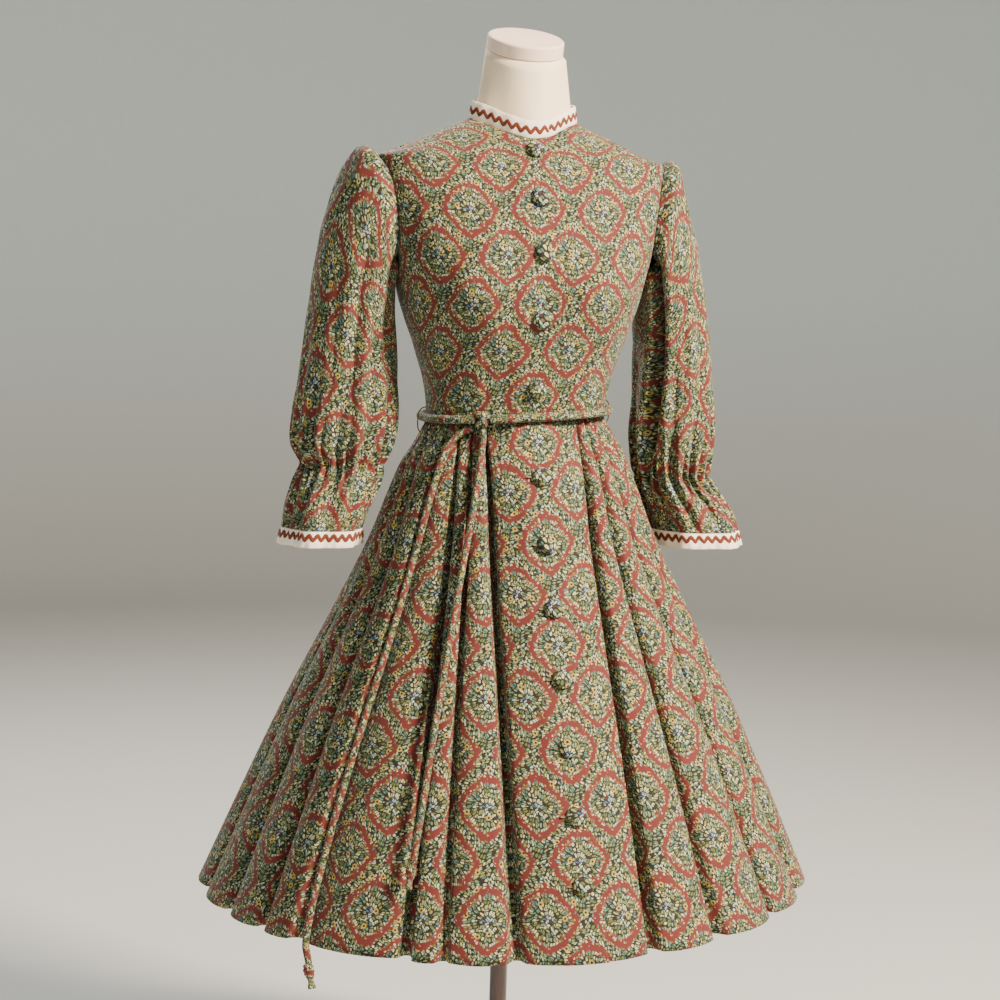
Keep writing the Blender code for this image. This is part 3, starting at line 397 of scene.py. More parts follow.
skirtRows = table(("z", "halfWidth", "front", "back", "foldShare", "widthShare"), (
    (0.432, 0.3900, 0.3920, 0.3880, 0.85, 1.50),
    (0.555, 0.3360, 0.3330, 0.3300, 1.00, 1.25),
    (0.670, 0.2830, 0.2740, 0.2710, 1.00, 1.05),
    (0.780, 0.2255, 0.2160, 0.2130, 1.00, 0.95),
    (0.870, 0.1820, 0.1700, 0.1660, 0.95, 0.85),
    (0.925, 0.1605, 0.1480, 0.1430, 0.75, 0.70),
    (0.965, 0.1445, 0.1270, 0.1210, 0.50, 0.55),
    (0.995, 0.1255, 0.1070, 0.1010, 0.30, 0.42),
    (1.0195, 0.1122, 0.0922, 0.0852, 0.18, 0.33),
))
skirtFolds = (  # degrees at the waist and the hem, depth and half width
    (38.0, 12.5, 0.018, 0.0100),
    (45.0, 27.0, 0.019, 0.0125),  # deeper and wider than in the CAD
    (53.0, 44.0, 0.020, 0.0090),
    (65.0, 60.0, 0.020, 0.0095),
    (78.0, 75.0, 0.013, 0.0100),
    (91.0, 90.0, 0.015, 0.0100),
    (105.0, 104.0, 0.012, 0.0100),
    (118.0, 118.0, 0.016, 0.0095),
    (131.0, 132.0, 0.011, 0.0100),
    (144.0, 146.0, 0.016, 0.0095),
    (157.0, 159.0, 0.012, 0.0100),
    (170.0, 172.0, 0.015, 0.0095),
    (183.0, 186.0, 0.012, 0.0100),
    (196.0, 199.0, 0.016, 0.0095),
    (209.0, 213.0, 0.011, 0.0100),
    (222.0, 227.0, 0.016, 0.0095),
    (235.0, 241.0, 0.012, 0.0100),
    (247.0, 256.0, 0.014, 0.0100),
    (257.0, 271.0, 0.013, 0.0100),
    (267.0, 286.0, 0.016, 0.0100),
    (279.0, 298.0, 0.020, 0.0095),
    (296.0, 307.0, 0.010, 0.0105),
    (306.0, 329.0, 0.016, 0.0095),
    (315.0, 335.5, 0.009, 0.0080),
    (322.0, 348.0, 0.014, 0.0105),
)
hemLean = 0.025


def skirtRadius(angle, z):
    side, ahead = np.sin(angle), np.cos(angle)
    reach = np.where(ahead > 0, along(skirtRows, "front", z), along(skirtRows, "back", z))
    return 1 / np.hypot(side / along(skirtRows, "halfWidth", z), ahead / reach)


def skirtPlace(angle, z, inset=0.0):
    angle, z = np.broadcast_arrays(np.asarray(angle, float), np.asarray(z, float))
    radius = skirtRadius(angle, z) - inset
    x, y = radius * np.sin(angle), -radius * np.cos(angle)
    hem, top = skirtRows["z"][0], skirtRows["z"][-1]
    share = (top - z) / (top - hem)
    return np.stack((x, y, z + x * (waist["lean"] + (hemLean - waist["lean"]) * share)), axis=-1)


def skirtOut(angle, z):
    across = skirtPlace(angle + 0.02, z) - skirtPlace(angle - 0.02, z)
    up = skirtPlace(angle, z + 0.004) - skirtPlace(angle, z - 0.004)
    return unit(np.cross(across, up))


# Materials

cottonPrint = {
    "repeatWidth": 0.084,  # half dropped: every second column is half a repeat lower
    "repeatHeight": 0.118,
    "medallion": 0.0284,  # from its middle to its tip, and to the outside of its red ring
    "ring": 0.0339,
    "squareness": 1.34,  # 1 is a diamond, 2 a circle
    "strokeLength": 0.0058,
    "strokeWidth": 0.0028,
    "strokeSize": 0.41,  # of each leaf in its cell
    "flowerSpacing": 0.0125,
    "flowerShare": 0.20,
    "petal": 0.0028,
    "eye": 0.0013,
    "heart": 0.0062,  # where the bluish middles are
    "wobble": 0.0080,  # how far a medallion's edge strays
    "raggedIn": 0.0050,
    "raggedOut": 0.0036,
    "slant": 40,  # degrees, of the leaves between medallions
    "redInside": 0.0045,  # how far the red ground reaches in and out from the ring
    "redOutside": 0.0022,
    "rimFrom": 0.07,  # the dark outline of each stroke
    "rimTo": 0.15,
    "red": "#66231f",
    "ground": "#14130c",
    "strokes": ("#8d9060", "#668665", "#bcb98a", "#566231", "#9daf9a", "#797f4b", "#416c64"),
    "middles": ("#6c9db3", "#b9c9c4", "#451b27", "#2f6088", "#97ab98"),
    "flower": "#a98f3c",
    "flowerEye": "#17110c",
}


def makePrint(name, p, scale=1.0):
    # Roller-printed plain-weave cotton: matt, with a faint thread texture and no gloss
    m = newMaterial(name)
    width, height = p["repeatWidth"] * scale, p["repeatHeight"] * scale
    uv = addNode(m, "UVMap", {"uv_map": "UVMap"})

    def maths(kind, *values):
        return addNode(m, "Math", {"operation": kind}, *values)

    def vectors(kind, *values):
        return addNode(m, "VectorMath", {"operation": kind}, *values)

    # The nearest medallion's middle, and how far out from it this place lies
    wobble = addNode(m, "TexNoise", {"Scale": 62.0 / scale, "Detail": 1.0, "Vector": uv})
    small = vectors("MULTIPLY", vectors("SUBTRACT", wobble.outputs["Color"], (0.5, 0.5, 0.5)),
                    (p["wobble"] * scale,) * 3)
    cells = vectors("DIVIDE", vectors("ADD", uv, small), (width, height, 1.0))
    near = vectors("MULTIPLY", vectors("SUBTRACT", vectors("FRACTION", vectors(
        "ADD", cells, (0.5, 0.5, 0.0))), (0.5, 0.5, 0.0)), (width, height, 0.0))
    far = vectors("MULTIPLY", vectors("SUBTRACT", vectors("FRACTION", cells), (0.5, 0.5, 0.0)),
                  (width, height, 0.0))
    nearer = maths("LESS_THAN", vectors("LENGTH", near).outputs["Value"],
                   vectors("LENGTH", far).outputs["Value"])
    spot = mixColours(m, nearer, far, near)
    radius = vectors("LENGTH", spot).outputs["Value"]
    parts = addNode(m, "SeparateXYZ", {}, spot)
    x, y = parts.outputs["X"], parts.outputs["Y"]
    power = p["squareness"]
    reach = maths("ADD", maths("POWER", maths("ABSOLUTE", x), power),
                  maths("POWER", maths("ABSOLUTE", maths("MULTIPLY", y, 0.95)), power))
    reach = maths("POWER", reach, 1 / power)
    angle = maths("ARCTAN2", y, x)

    # Strokes in rings round the middle, and leaves that slant along the trellis between them
    long, thin = p["strokeLength"] * scale, p["strokeWidth"] * scale
    ring = maths("DIVIDE", radius, long)
    ringIndex = maths("FLOOR", ring)
    number = maths("MULTIPLY_ADD", ringIndex, round(math.tau * long / thin), 7.0)
    share = maths("MULTIPLY", maths("DIVIDE", angle, math.tau), number)
    share = maths("MULTIPLY_ADD", ringIndex, 17.3, share)
    inMedallion = addNode(m, "CombineXYZ", {}, share, ring, 0.0)
    run = maths("MULTIPLY", angle, 0.040 * scale)
    slant = math.radians(p["slant"])
    leafAcross = maths("SUBTRACT", maths("MULTIPLY", run, math.cos(slant) / thin),
                       maths("MULTIPLY", reach, math.sin(slant) / thin))
    leafAlong = maths("ADD", maths("MULTIPLY", run, math.sin(slant) / long),
                      maths("MULTIPLY", reach, math.cos(slant) / long))
    inTrellis = addNode(m, "CombineXYZ", {}, leafAcross, leafAlong, 0.0)

    # Small open flowers with dark eyes, strewn over the leaves
    strewn = addNode(m, "TexVoronoi", {"voronoi_dimensions": "2D", "Randomness": 0.85,
                                       "Scale": 1 / (p["flowerSpacing"] * scale), "Vector": uv})
    pick = addNode(m, "SeparateColor", {}, strewn.outputs["Color"])
    chosen = maths("LESS_THAN", pick.outputs["Red"], p["flowerShare"])
    petals = maths("MULTIPLY", chosen, maths(
        "LESS_THAN", strewn.outputs["Distance"], p["petal"] / p["flowerSpacing"]))
    eyes = maths("MULTIPLY", chosen, maths(
        "LESS_THAN", strewn.outputs["Distance"], p["eye"] / p["flowerSpacing"]))

    uneven = addNode(m, "TexNoise", {"Scale": 320.0, "Detail": 2.0, "Vector": uv})
    red = mixColours(m, 0.25, linearColour(p["red"]), uneven.outputs["Color"], "MULTIPLY")
    painted, randoms = [], []
    for vector in (inMedallion, inTrellis):
        settings = {"voronoi_dimensions": "2D", "Scale": 1.0, "Randomness": 0.72, "Vector": vector}
        cell = addNode(m, "TexVoronoi", settings)
        rim = addNode(m, "TexVoronoi", dict(settings, feature="DISTANCE_TO_EDGE"))
        pick = addNode(m, "SeparateColor", {}, cell.outputs["Color"])
        randoms.append(pick.outputs["Green"])
        hues = addRamp(m, pick.outputs["Red"], p["strokes"])
        if vector is inMedallion:
            eye = addRamp(m, pick.outputs["Red"], p["middles"])
            inMiddle = maths("LESS_THAN", radius, p["heart"] * scale)
            hues = mixColours(m, inMiddle, hues, eye)
            onRed = maths("GREATER_THAN", reach, (p["medallion"] - p["redInside"]) * scale)
        else:
            onRed = maths("LESS_THAN", reach, (p["ring"] + p["redOutside"]) * scale)
        shape = maths("MULTIPLY",
                      addNode(m, "MapRange", {"From Min": p["strokeSize"] + 0.05,
                                              "From Max": p["strokeSize"] - 0.05},
                              cell.outputs["Distance"]),
                      addNode(m, "MapRange", {"From Min": p["rimFrom"], "From Max": p["rimTo"]},
                              rim.outputs["Distance"]))
        ground = mixColours(m, onRed, linearColour(p["ground"]), red)
        leaves = mixColours(m, shape, ground, hues)
        leaves = mixColours(m, petals, leaves, linearColour(p["flower"]))
        painted.append(mixColours(m, eyes, leaves, linearColour(p["flowerEye"])))
    ragged = maths("MULTIPLY_ADD", randoms[0], p["raggedIn"] * scale,
                   (p["medallion"] - p["raggedIn"] / 2) * scale)
    inHeart = maths("LESS_THAN", reach, ragged)
    ragged = maths("MULTIPLY_ADD", randoms[1], -p["raggedOut"] * scale,
                   (p["ring"] + p["raggedOut"] / 2) * scale)
    outside = maths("GREATER_THAN", reach, ragged)
    base = mixColours(m, inHeart, red, painted[0])
    base = mixColours(m, outside, base, painted[1])

    # Threads are 0.3 mm apart, too fine to show, so they are drawn at 0.8 mm
    weave = addNode(m, "TexNoise", {"Scale": 1250.0, "Detail": 1.0, "Vector": uv})
    return finishMaterial(m, base, weave.outputs["Fac"], {
        "Roughness": 0.82, "IOR": 1.45, "Sheen Weight": 0.08, "Sheen Roughness": 0.5,
        "bumpDepth": 0.00035,
    })


def addRamp(material, value, hexes):
    # Flat steps of colour, one for each of the print's screens
    ramp = addNode(material, "ValToRGB", {}, value)
    ramp.color_ramp.interpolation = "CONSTANT"
    stops = ramp.color_ramp.elements
    stops[0].color = linearColour(hexes[0])
    stops[1].position, stops[1].color = 1.0, linearColour(hexes[-1])
    for i, text in enumerate(hexes[1:], 1):
        stops.new(i / len(hexes)).color = linearColour(text)
    return ramp


def makeWeave(name, colour, shadow, threads, roughness, depth):
    # Woven cotton, plain or braided: threads that show as fine light and dark
    m = newMaterial(name)
    where = addNode(m, "TexCoord", {})
    cross = addNode(m, "TexVoronoi", {"Scale": threads, "Randomness": 0.5,
                                      "Vector": where.outputs["Object"]})
    cloud = addNode(m, "TexNoise", {"Scale": 45.0, "Detail": 3.0,
                                    "Vector": where.outputs["Object"]})
    mixed = addNode(m, "MapRange", {"From Max": 0.9, "To Max": 0.5}, cross.outputs["Distance"])
    base = mixColours(m, mixed, linearColour(colour), linearColour(shadow))
    base = mixColours(m, 0.12, base, cloud.outputs["Color"], "OVERLAY")
    return finishMaterial(m, base, cross.outputs["Distance"], {
        "Roughness": roughness, "IOR": 1.45, "Sheen Weight": 0.1, "bumpDepth": depth,
    })


def makeJersey(name, colour, shadow):
    # Fine knitted jersey, stretched tight: soft and matt, with a faint vertical rib
    m = newMaterial(name)
    where = addNode(m, "TexCoord", {})
    place = where.outputs["Object"]
    rib = addNode(m, "TexNoise", {"Scale": 900.0, "Detail": 2.0, "Vector": place})
    cloud = addNode(m, "TexNoise", {"Scale": 14.0, "Detail": 4.0, "Vector": place})
    mixed = addNode(m, "MapRange", {"From Min": 0.35, "From Max": 0.8, "To Max": 0.6},
                    cloud.outputs["Fac"])
    base = mixColours(m, mixed, linearColour(colour), linearColour(shadow))
    return finishMaterial(m, base, rib.outputs["Fac"], {
        "Roughness": 0.78, "IOR": 1.45, "Sheen Weight": 0.25, "Sheen Roughness": 0.4,
        "bumpDepth": 0.00025,
    })


def makeWood(name, dark, light):
    # Turned beech with a dark red stain under gloss varnish, worn lighter in streaks
    m = newMaterial(name)
    where = addNode(m, "TexCoord", {})
    stretched = addNode(m, "Mapping", {"Scale": (1.0, 1.0, 0.06)}, where.outputs["Object"])
    grain = addNode(m, "TexNoise", {"Scale": 260.0, "Detail": 5.0, "Distortion": 0.6,
                                    "Vector": stretched})
    streak = addNode(m, "MapRange", {"From Min": 0.38, "From Max": 0.68}, grain.outputs["Fac"])
    base = mixColours(m, streak, linearColour(dark), linearColour(light))
    return finishMaterial(m, base, grain.outputs["Fac"], {
        "Roughness": 0.38, "IOR": 1.5, "Coat Weight": 0.8, "Coat Roughness": 0.12,
        "bumpDepth": 0.0002,
    })


printedCotton = makePrint("rollerPrintedCotton", cottonPrint)
rouleauCotton = makePrint("printedCottonRouleau", cottonPrint, 0.8)
whiteCotton = makeWeave("whiteCottonPoplin", "#fdf6e8", "#e9dfcc", 1500.0, 0.7, 0.00025)
rustBraid = makeWeave("rustCottonBraid", "#742d0b", "#471a07", 1300.0, 0.75, 0.0004)
buttonholeThread = makeWeave("cottonButtonholeThread", "#8a7a58", "#4f4430", 1800.0, 0.75, 0.0003)
loopThread = makeWeave("brownSewingThread", "#4a3826", "#2a1f16", 2000.0, 0.7, 0.0002)
creamJersey = makeJersey("creamCottonJersey", "#f4e4c8", "#e6d2b0")
capJersey = makeJersey("capCottonJersey", "#f1dccb", "#e2c6b4")
stainedBeech = makeWood("stainedVarnishedBeech", "#220603", "#541c0c")
print("materials made")

# The belt's two hanging ends, which are cords, and the knots on their tips

tie = {"radius": 0.0043, "clear": 0.0012, "points": 110, "sides": 20, "stepPoints": 25}
tieEnds = {  # height, and degrees round from the front
    "Long": {"printStart": 0.011, "rows": (
        (0.4130, -48.1), (0.450, -49.5), (0.500, -50.2), (0.600, -50.9), (0.700, -51.3),
        (0.800, -52.2), (0.860, -53.2), (0.950, -53.6), (0.985, -53.7), (0.998, -51.5),
        (1.0050, -47.0), (1.0085, -42.0),
    )},
    "Short": {"printStart": 0.043, "rows": (
        (0.5300, -31.6), (0.600, -31.7), (0.700, -32.1), (0.850, -32.5), (0.900, -32.0),
        (0.945, -31.7), (0.990, -33.4), (1.0070, -35.4),
    )},
}
tieTip = {"knotRadius": 0.0068, "knotLength": 0.0155, "tailRadius": 0.0042, "tailLength": 0.0130}


def tieRoute(rows):
    rows = table(("z", "angle"), rows)
    low, high = rows["z"][0], rows["z"][-1]
    z = high + (low - high) * np.linspace(0, 1, 300) ** 2
    angle = np.radians(along(rows, "angle", z))
    onSkirt = np.maximum(z, skirtRows["z"][0])
    out = skirtOut(angle, onSkirt)
    place = skirtPlace(angle, onSkirt) + out * (tie["radius"] + tie["clear"])
    place = place + np.stack((0 * z, 0 * z, z - onSkirt), axis=1)
    both = resampled(np.concatenate((place, out), axis=1), tie["points"])
    return both[:, :3], unit(both[:, 3:])


def turnedMatrix(place, out):
    turn = Vector(out).to_track_quat("Z", "Y").to_matrix().to_4x4()
    return Matrix.Translation(Vector(place)) @ turn


def addTurned(name, profile, steps, place, out, material, ripple=None, planar=False):
    # Turned about the way out, from (radius, height) points from the bottom up
    profile = np.array(profile, float)
    count = len(profile)
    turns = np.linspace(0, math.tau, steps, endpoint=False)
    radius = np.repeat(profile[:, :1], steps, axis=1)
    height = np.repeat(profile[:, 1:], steps, axis=1)
    if ripple is not None:
        radius, height = ripple(radius, height, turns[None, :])
    points = np.stack((radius * np.cos(turns), radius * np.sin(turns), height), axis=-1)
    matrix = np.array(turnedMatrix(place, out))
    points = points.reshape(-1, 3) @ matrix[:3, :3].T + matrix[:3, 3]
    runs = runAlong(profile)
    widest = profile[:, 0].max()
    flatShare = runs / runs[-1]
    maps = []

    def uvAt(i, k):
        turn = k / steps * math.tau
        if planar:
            reach = widest * 1.3 * (1 - flatShare[i]) + 0.0003
            # The middle of a medallion, a little off, since each cover is cut by itself
            offU, offV = 0.004 * math.sin(place[2] * 40), 0.009 * math.cos(place[2] * 57)
            return reach * math.cos(turn) + offU, reach * math.sin(turn) + offV
        return turn * widest, runs[i]

    for i in range(count - 1):
        for k in range(steps):
            maps.extend((uvAt(i, k), uvAt(i, k + 1), uvAt(i + 1, k + 1), uvAt(i + 1, k)))
    maps.extend(uvAt(0, k) for k in range(steps - 1, -1, -1))
    maps.extend(uvAt(count - 1, k) for k in range(steps))
    return addPiece(name, points, ringFaces(count, steps), maps, material)


def makeTie(word, t):
    path, out = tieRoute(t["rows"])
    size = tieTip
    down = unit(path[-1] - path[-2])
    count = np.arange(len(path))
    swell = 1 + 0.03 * np.sin(count * 0.9) + 0.02 * np.sin(count * 2.3)
    cord = addTube("tieEnd" + word, path, tie["radius"] * swell / 1.05, tie["sides"],
                   rouleauCotton, uvStart=t["printStart"])
    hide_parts("tie_end_" + word.lower())
    k, tail = size["knotLength"], size["tailLength"]
    shape = smoothRows(((0.0006, -k - tail), (size["tailRadius"] * 0.95, -k - tail * 0.98),
                        (size["tailRadius"] * 0.86, -k - tail * 0.6),
                        (size["tailRadius"] * 0.80, -k - tail * 0.2),
                        (size["knotRadius"] * 0.80, -k * 0.90), (size["knotRadius"], -k * 0.55),
                        (size["knotRadius"] * 0.86, -k * 0.16), (size["tailRadius"], -k * 0.02),
                        (0.0006, 0.0)), 56)

    def wraps(radius, height, turns):
        inKnot = ease(height, -k * 1.02, -k * 0.8) * (1 - ease(height, -k * 0.2, 0.0))
        strands = np.abs(np.sin((height / k * 3.1 + turns / math.tau) * math.pi))
        ends = ease(-height, k + tail * 0.3, k + tail) * (1 + np.sin(turns * 5)) * 0.10
        return radius * (1 - 0.20 * inKnot * (1 - strands) + ends), height

    place = path[-1] + down * 0.0004 + out[-1] * (size["knotRadius"] - tie["radius"])
    tip = addTurned("tieTip" + word, shape, 36, place, -down, rouleauCotton, wraps)
    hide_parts("tie_tip_" + word.lower())
    middle = [tuple(map(float, p)) for p in resampled(path, tie["stepPoints"])]


for tieWord, tieSizes in tieEnds.items():
    makeTie(tieWord, tieSizes)
print("tie ends made")

def crease(u, v, lines):
    # Creases, listed one by one: each a line on the flat cloth that sinks in and fades at its ends
    total = np.zeros(np.broadcast(u, v).shape)
    for u0, v0, u1, v1, depth, width in lines:
        run = np.array((u1 - u0, v1 - v0))
        length = np.linalg.norm(run)
        forward = ((u - u0) * run[0] + (v - v0) * run[1]) / length
        away = ((u - u0) * run[1] - (v - v0) * run[0]) / length
        fade = ease(forward, -length * 0.1, length * 0.3)
        fade = fade * (1 - ease(forward, length * 0.6, length))
        total = total + depth * fade * (np.exp(-(away / width) ** 2)
                                        - 0.55 * np.exp(-((away - 1.7 * width) / width) ** 2))
    return total


# Bodice

bodiceDetail = {
    "rowsToUnderarm": 44, "rowsToNeck": 26, "rowsToShoulder": 40, "columns": 84,
    "chestZ": 1.215, "waves": 0.0007, "calmColumns": 6,
    "printMove": (0.0045, 0.0614),  # of the print, so that its rows lie as in the photo
    "frontCreases": (  # along the chest from the centre, up, both ends; depth and width
        (0.176, 1.190, 0.120, 1.172, 0.0030, 0.0050),
        (0.160, 1.150, 0.118, 1.140, 0.0016, 0.0050),
        (0.140, 1.075, 0.100, 1.100, 0.0014, 0.0050),
        (0.150, 1.290, 0.172, 1.220, 0.0018, 0.0060),
        (0.060, 1.030, 0.066, 1.110, 0.0012, 0.0050),
        (0.094, 1.028, 0.090, 1.090, 0.0010, 0.0045),
    ),
    "backCreases": (
        (0.180, 1.180, 0.120, 1.150, 0.0026, 0.0060),
        (0.070, 1.030, 0.085, 1.200, 0.0016, 0.0070),
        (0.120, 1.036, 0.100, 1.110, 0.0014, 0.0060),
    ),
}


def edgeRows(d, inner, startX=None, behind=False):
    # (angle, z) up the inner edge and the neck line, or the side seam and the armhole
    under = np.linspace(0, 1, d["rowsToUnderarm"] + 1)
    rest = d["rowsToNeck"] + d["rowsToShoulder"]
    if not inner:
        turn = math.pi * (1 + np.arange(1, rest + 1) / rest * (1 if behind else -1))
        angle, z = armholePlace(turn)
        low = waist["z"] + (armhole["bottomZ"] - waist["z"]) * under
        return (np.concatenate((np.full(len(under), math.pi / 2), angle)),
                np.concatenate((low, z)))
    first = math.pi if startX is None else frontAngle(startX, neckZ(0))
    top = neckZ(first)
    low = waist["z"] + (d["chestZ"] - waist["z"]) * under
    up = d["chestZ"] + (top - d["chestZ"]) * np.linspace(0, 1, d["rowsToNeck"] + 1)[1:]
    z = np.concatenate((low, up))
    angle = np.full(len(z), math.pi) if startX is None else frontAngle(startX, z)
    toSide = math.copysign(math.pi / 2, startX if startX else 1)
    onNeck = first + (toSide - first) * np.linspace(0, 1, d["rowsToShoulder"] + 1)[1:]
    return np.concatenate((angle, onNeck)), np.concatenate((z, neckZ(onNeck)))


def lengthTables():
    # Lengths over the body, round it from the front and up it from the waist
    angles, zs = np.linspace(0, math.pi, 361), np.linspace(0.99, 1.40, 165)
    grid = bodyPoint(angles[None, :], zs[:, None])
    return runAlong(grid, 1), runAlong(grid)


def flatPlace(angle, z, front):
    a = np.clip(np.abs(angle) / math.pi * 360, 0, 359.999)
    b = np.clip((z - 0.99) / (1.40 - 0.99) * 164, 0, 163.999)
    i, j = a.astype(int), b.astype(int)
    u, v = a - i, b - j
    values = []
    for rows in bodyLengths:
        low = rows[j, i] * (1 - u) + rows[j, i + 1] * u
        high = rows[j + 1, i] * (1 - u) + rows[j + 1, i + 1] * u
        values.append(low * (1 - v) + high * v)
    if not front:
        whole = bodyLengths[0][:, -1]
        values[0] = whole[j] * (1 - v) + whole[j + 1] * v - values[0]
    return values


bodyLengths = lengthTables()


def bodicePanel(name, d, inner, outer, side, lifted, creases, front):
    shares = np.linspace(0, 1, d["columns"] + 1)[None, :]
    angle = inner[0][:, None] + (outer[0] - inner[0])[:, None] * shares
    z = inner[1][:, None] + (outer[1] - inner[1])[:, None] * shares
    place = bodyPoint(angle, z)
    sink = np.clip(1 - (z - waist["z"]) / (armhole["bottomZ"] - waist["z"]), 0, 1)
    place = bodyPoint(angle, z + sink * (waist["lean"] * place[..., 0] + cloth["gap"] / 2))
    out = bodyOut(angle, z)
    u, v = flatPlace(angle, z, front)
    moved = crease(u, z, creases) + d["waves"] * softNoise(u * side, z, 0.07, 0.11, 5 + side)
    moved = moved * ease(z - waist["z"], -0.004, 0.03)
    calm = d["calmColumns"]  # flat towards the seams
    moved = moved * (np.minimum(np.arange(place.shape[1])[None, ::-1], calm) / calm)
    place = place - out * moved[..., None]
    if lifted:
        place = place + out * overlapLift(place[..., 0])[..., None]
    uv = np.stack((u * np.sign(angle) + d["printMove"][0], v + d["printMove"][1]), axis=-1)
    if side * (1 if front else -1) < 0:
        place, uv = place[:, ::-1], uv[:, ::-1]
    piece = addCloth(name, place, uv, cloth["wall"], printedCotton)
    return piece


def makeBodice(d):
    left = bodicePanel("bodiceFrontLeft", d, edgeRows(d, True, 1e-9), edgeRows(d, False),
                       1, False, d["frontCreases"], True)
    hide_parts("bodice_front_left")
    inner = edgeRows(d, True, closing["overEdge"])
    outer = edgeRows(d, False)
    toSide = inner[0].copy()
    steps = d["rowsToShoulder"]
    first = toSide[-steps - 1]
    toSide[-steps:] = first + (-math.pi / 2 - first) * np.linspace(0, 1, steps + 1)[1:]
    z = inner[1].copy()
    z[-steps:] = neckZ(toSide[-steps:])
    right = bodicePanel("bodiceFrontRight", d, (toSide, z), (-outer[0], outer[1]),
                        -1, True, d["frontCreases"], True)
    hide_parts("bodice_front_right")
    inner, outer = edgeRows(d, True), edgeRows(d, False, behind=True)
    for side, word in ((1, "Left"), (-1, "Right")):
        back = bodicePanel("bodiceBack" + word, d, (side * inner[0], inner[1]),
                           (side * outer[0], outer[1]), side, False, d["backCreases"], False)
        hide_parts("bodice_back")


makeBodice(bodiceDetail)
print("bodice made")


# Collar band and its zigzag braid

collar = {"height": 0.0215, "wall": 0.0013, "waves": 37, "braidMiddle": 0.0100,
          "braidStart": 0.080, "columns": 260}
braid = {"swing": 0.0031, "tape": 0.0046, "thick": 0.0011, "stand": 0.0005, "stepsPerWave": 12}


def neckTop(angle, inset=0.0):
    x = (neck["halfWidth"] - inset) * np.sin(angle)
    y = neck["topY"] - (neck["halfDepth"] - inset) * np.cos(angle)
    return np.stack((x, y, neck["topZ"] + neck["tilt"] * (y - neck["topY"])), axis=-1)


def neckBase(angle, over):
    z = neckZ(angle)
    place = bodyPoint(angle, z)
    lift = np.where(over, overlapLift(place[..., 0]), 0.0)
    return place + bodyOut(angle, z) * lift[..., None] + np.array((0, 0, cloth["gap"]))


def addBraid(name, low, high, waves, middle, closed, start=0.0):
    # A ric-rac tape: a sine wave of woven braid, a little domed, on a band's two edge rows
    count = waves * braid["stepsPerWave"] + (0 if closed else 1)
    lowRow = np.concatenate((low, low[:1])) if closed else low
    highRow = np.concatenate((high, high[:1])) if closed else high
    both = resampled(np.concatenate((lowRow, highRow), axis=1), waves * braid["stepsPerWave"] + 1)
    if closed:
        both = both[:-1]
    keep = slice(int(start * count), count)
    low, high = both[keep, :3], both[keep, 3:]
    rise = high - low
    tall = np.linalg.norm(rise, axis=1, keepdims=True)
    rise = rise / tall
    phase = np.arange(len(low)) / braid["stepsPerWave"] * math.tau
    swing = braid["swing"] * (np.sin(phase) - 0.11 * np.sin(3 * phase))
    out = unit(np.cross(wayAlong(low, closed), rise))
    centre = low + rise * (middle + swing[:, None])
    across = unit(np.cross(out, wayAlong(centre, closed)))
    rows = []
    for share in np.linspace(-1, 1, 7):
        dome = braid["thick"] * (1 - 0.75 * abs(share) ** 3)
        rows.append(centre + across * share * braid["tape"] / 2 + out * (braid["stand"] + dome))
    grid = np.array(rows)
    columns = grid.shape[1]
    uv = flatMap(np.arange(columns + 1)[None, :] * 0.001, np.arange(7)[:, None] * 0.0006)
    base = centre + out * braid["stand"]
    bottom = np.array([base + across * s * braid["tape"] / 2 * 0.98
                       for s in np.linspace(-1, 1, 7)])
    thickness = np.linalg.norm(grid - bottom, axis=-1, keepdims=True)
    return addCloth(name, grid, uv, np.maximum(thickness, 0.0002), rustBraid, closed,
                    out=np.broadcast_to(out, grid.shape))


def makeCollar(d):
    left = frontAngle(closing["underEdge"], neckZ(0.0))
    right = frontAngle(closing["overEdge"], neckZ(0.0))
    angles = np.concatenate((np.linspace(left, math.pi, 200),
                             np.linspace(math.pi, math.tau + right, 220)[1:]))
    over = angles > math.pi
    base = neckBase(angles, over)
    rise = unit(neckTop(angles) - neckBase(angles, False))
    both = resampled(np.concatenate((base, rise), axis=1), d["columns"])
    low, rise = both[:, :3], unit(both[:, 3:])
    heights = np.array((0.0, 0.0006, 0.004, 0.010, 0.016, d["height"] - 0.0006, d["height"]))
    run = np.arange(d["columns"]) / d["columns"]
    sway = 0.0004 * np.sin(run * 60.0) + 0.0003 * np.sin(run * 143.0)
    grid = np.array([low + rise * h for h in heights])
    out = waysOut(grid)
    puff = np.array((-0.0003, 0.0, 0.0004, 0.0005, 0.0004, 0.0001, -0.0003))
    grid = grid + out * (puff[:, None, None] + sway[None, :, None])
    uv = flatMap(run[None, :] * 0.4, heights[:, None])
    band = addCloth("collarBand", grid, uv, d["wall"], whiteCotton)
    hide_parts("collar_band")
    tape = addBraid("collarRicrac", grid[0], grid[-1], d["waves"] + 3, d["braidMiddle"], False,
                    d["braidStart"])
    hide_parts("collar_ricrac")


makeCollar(collar)
print("collar made")


# Sleeves and their bands

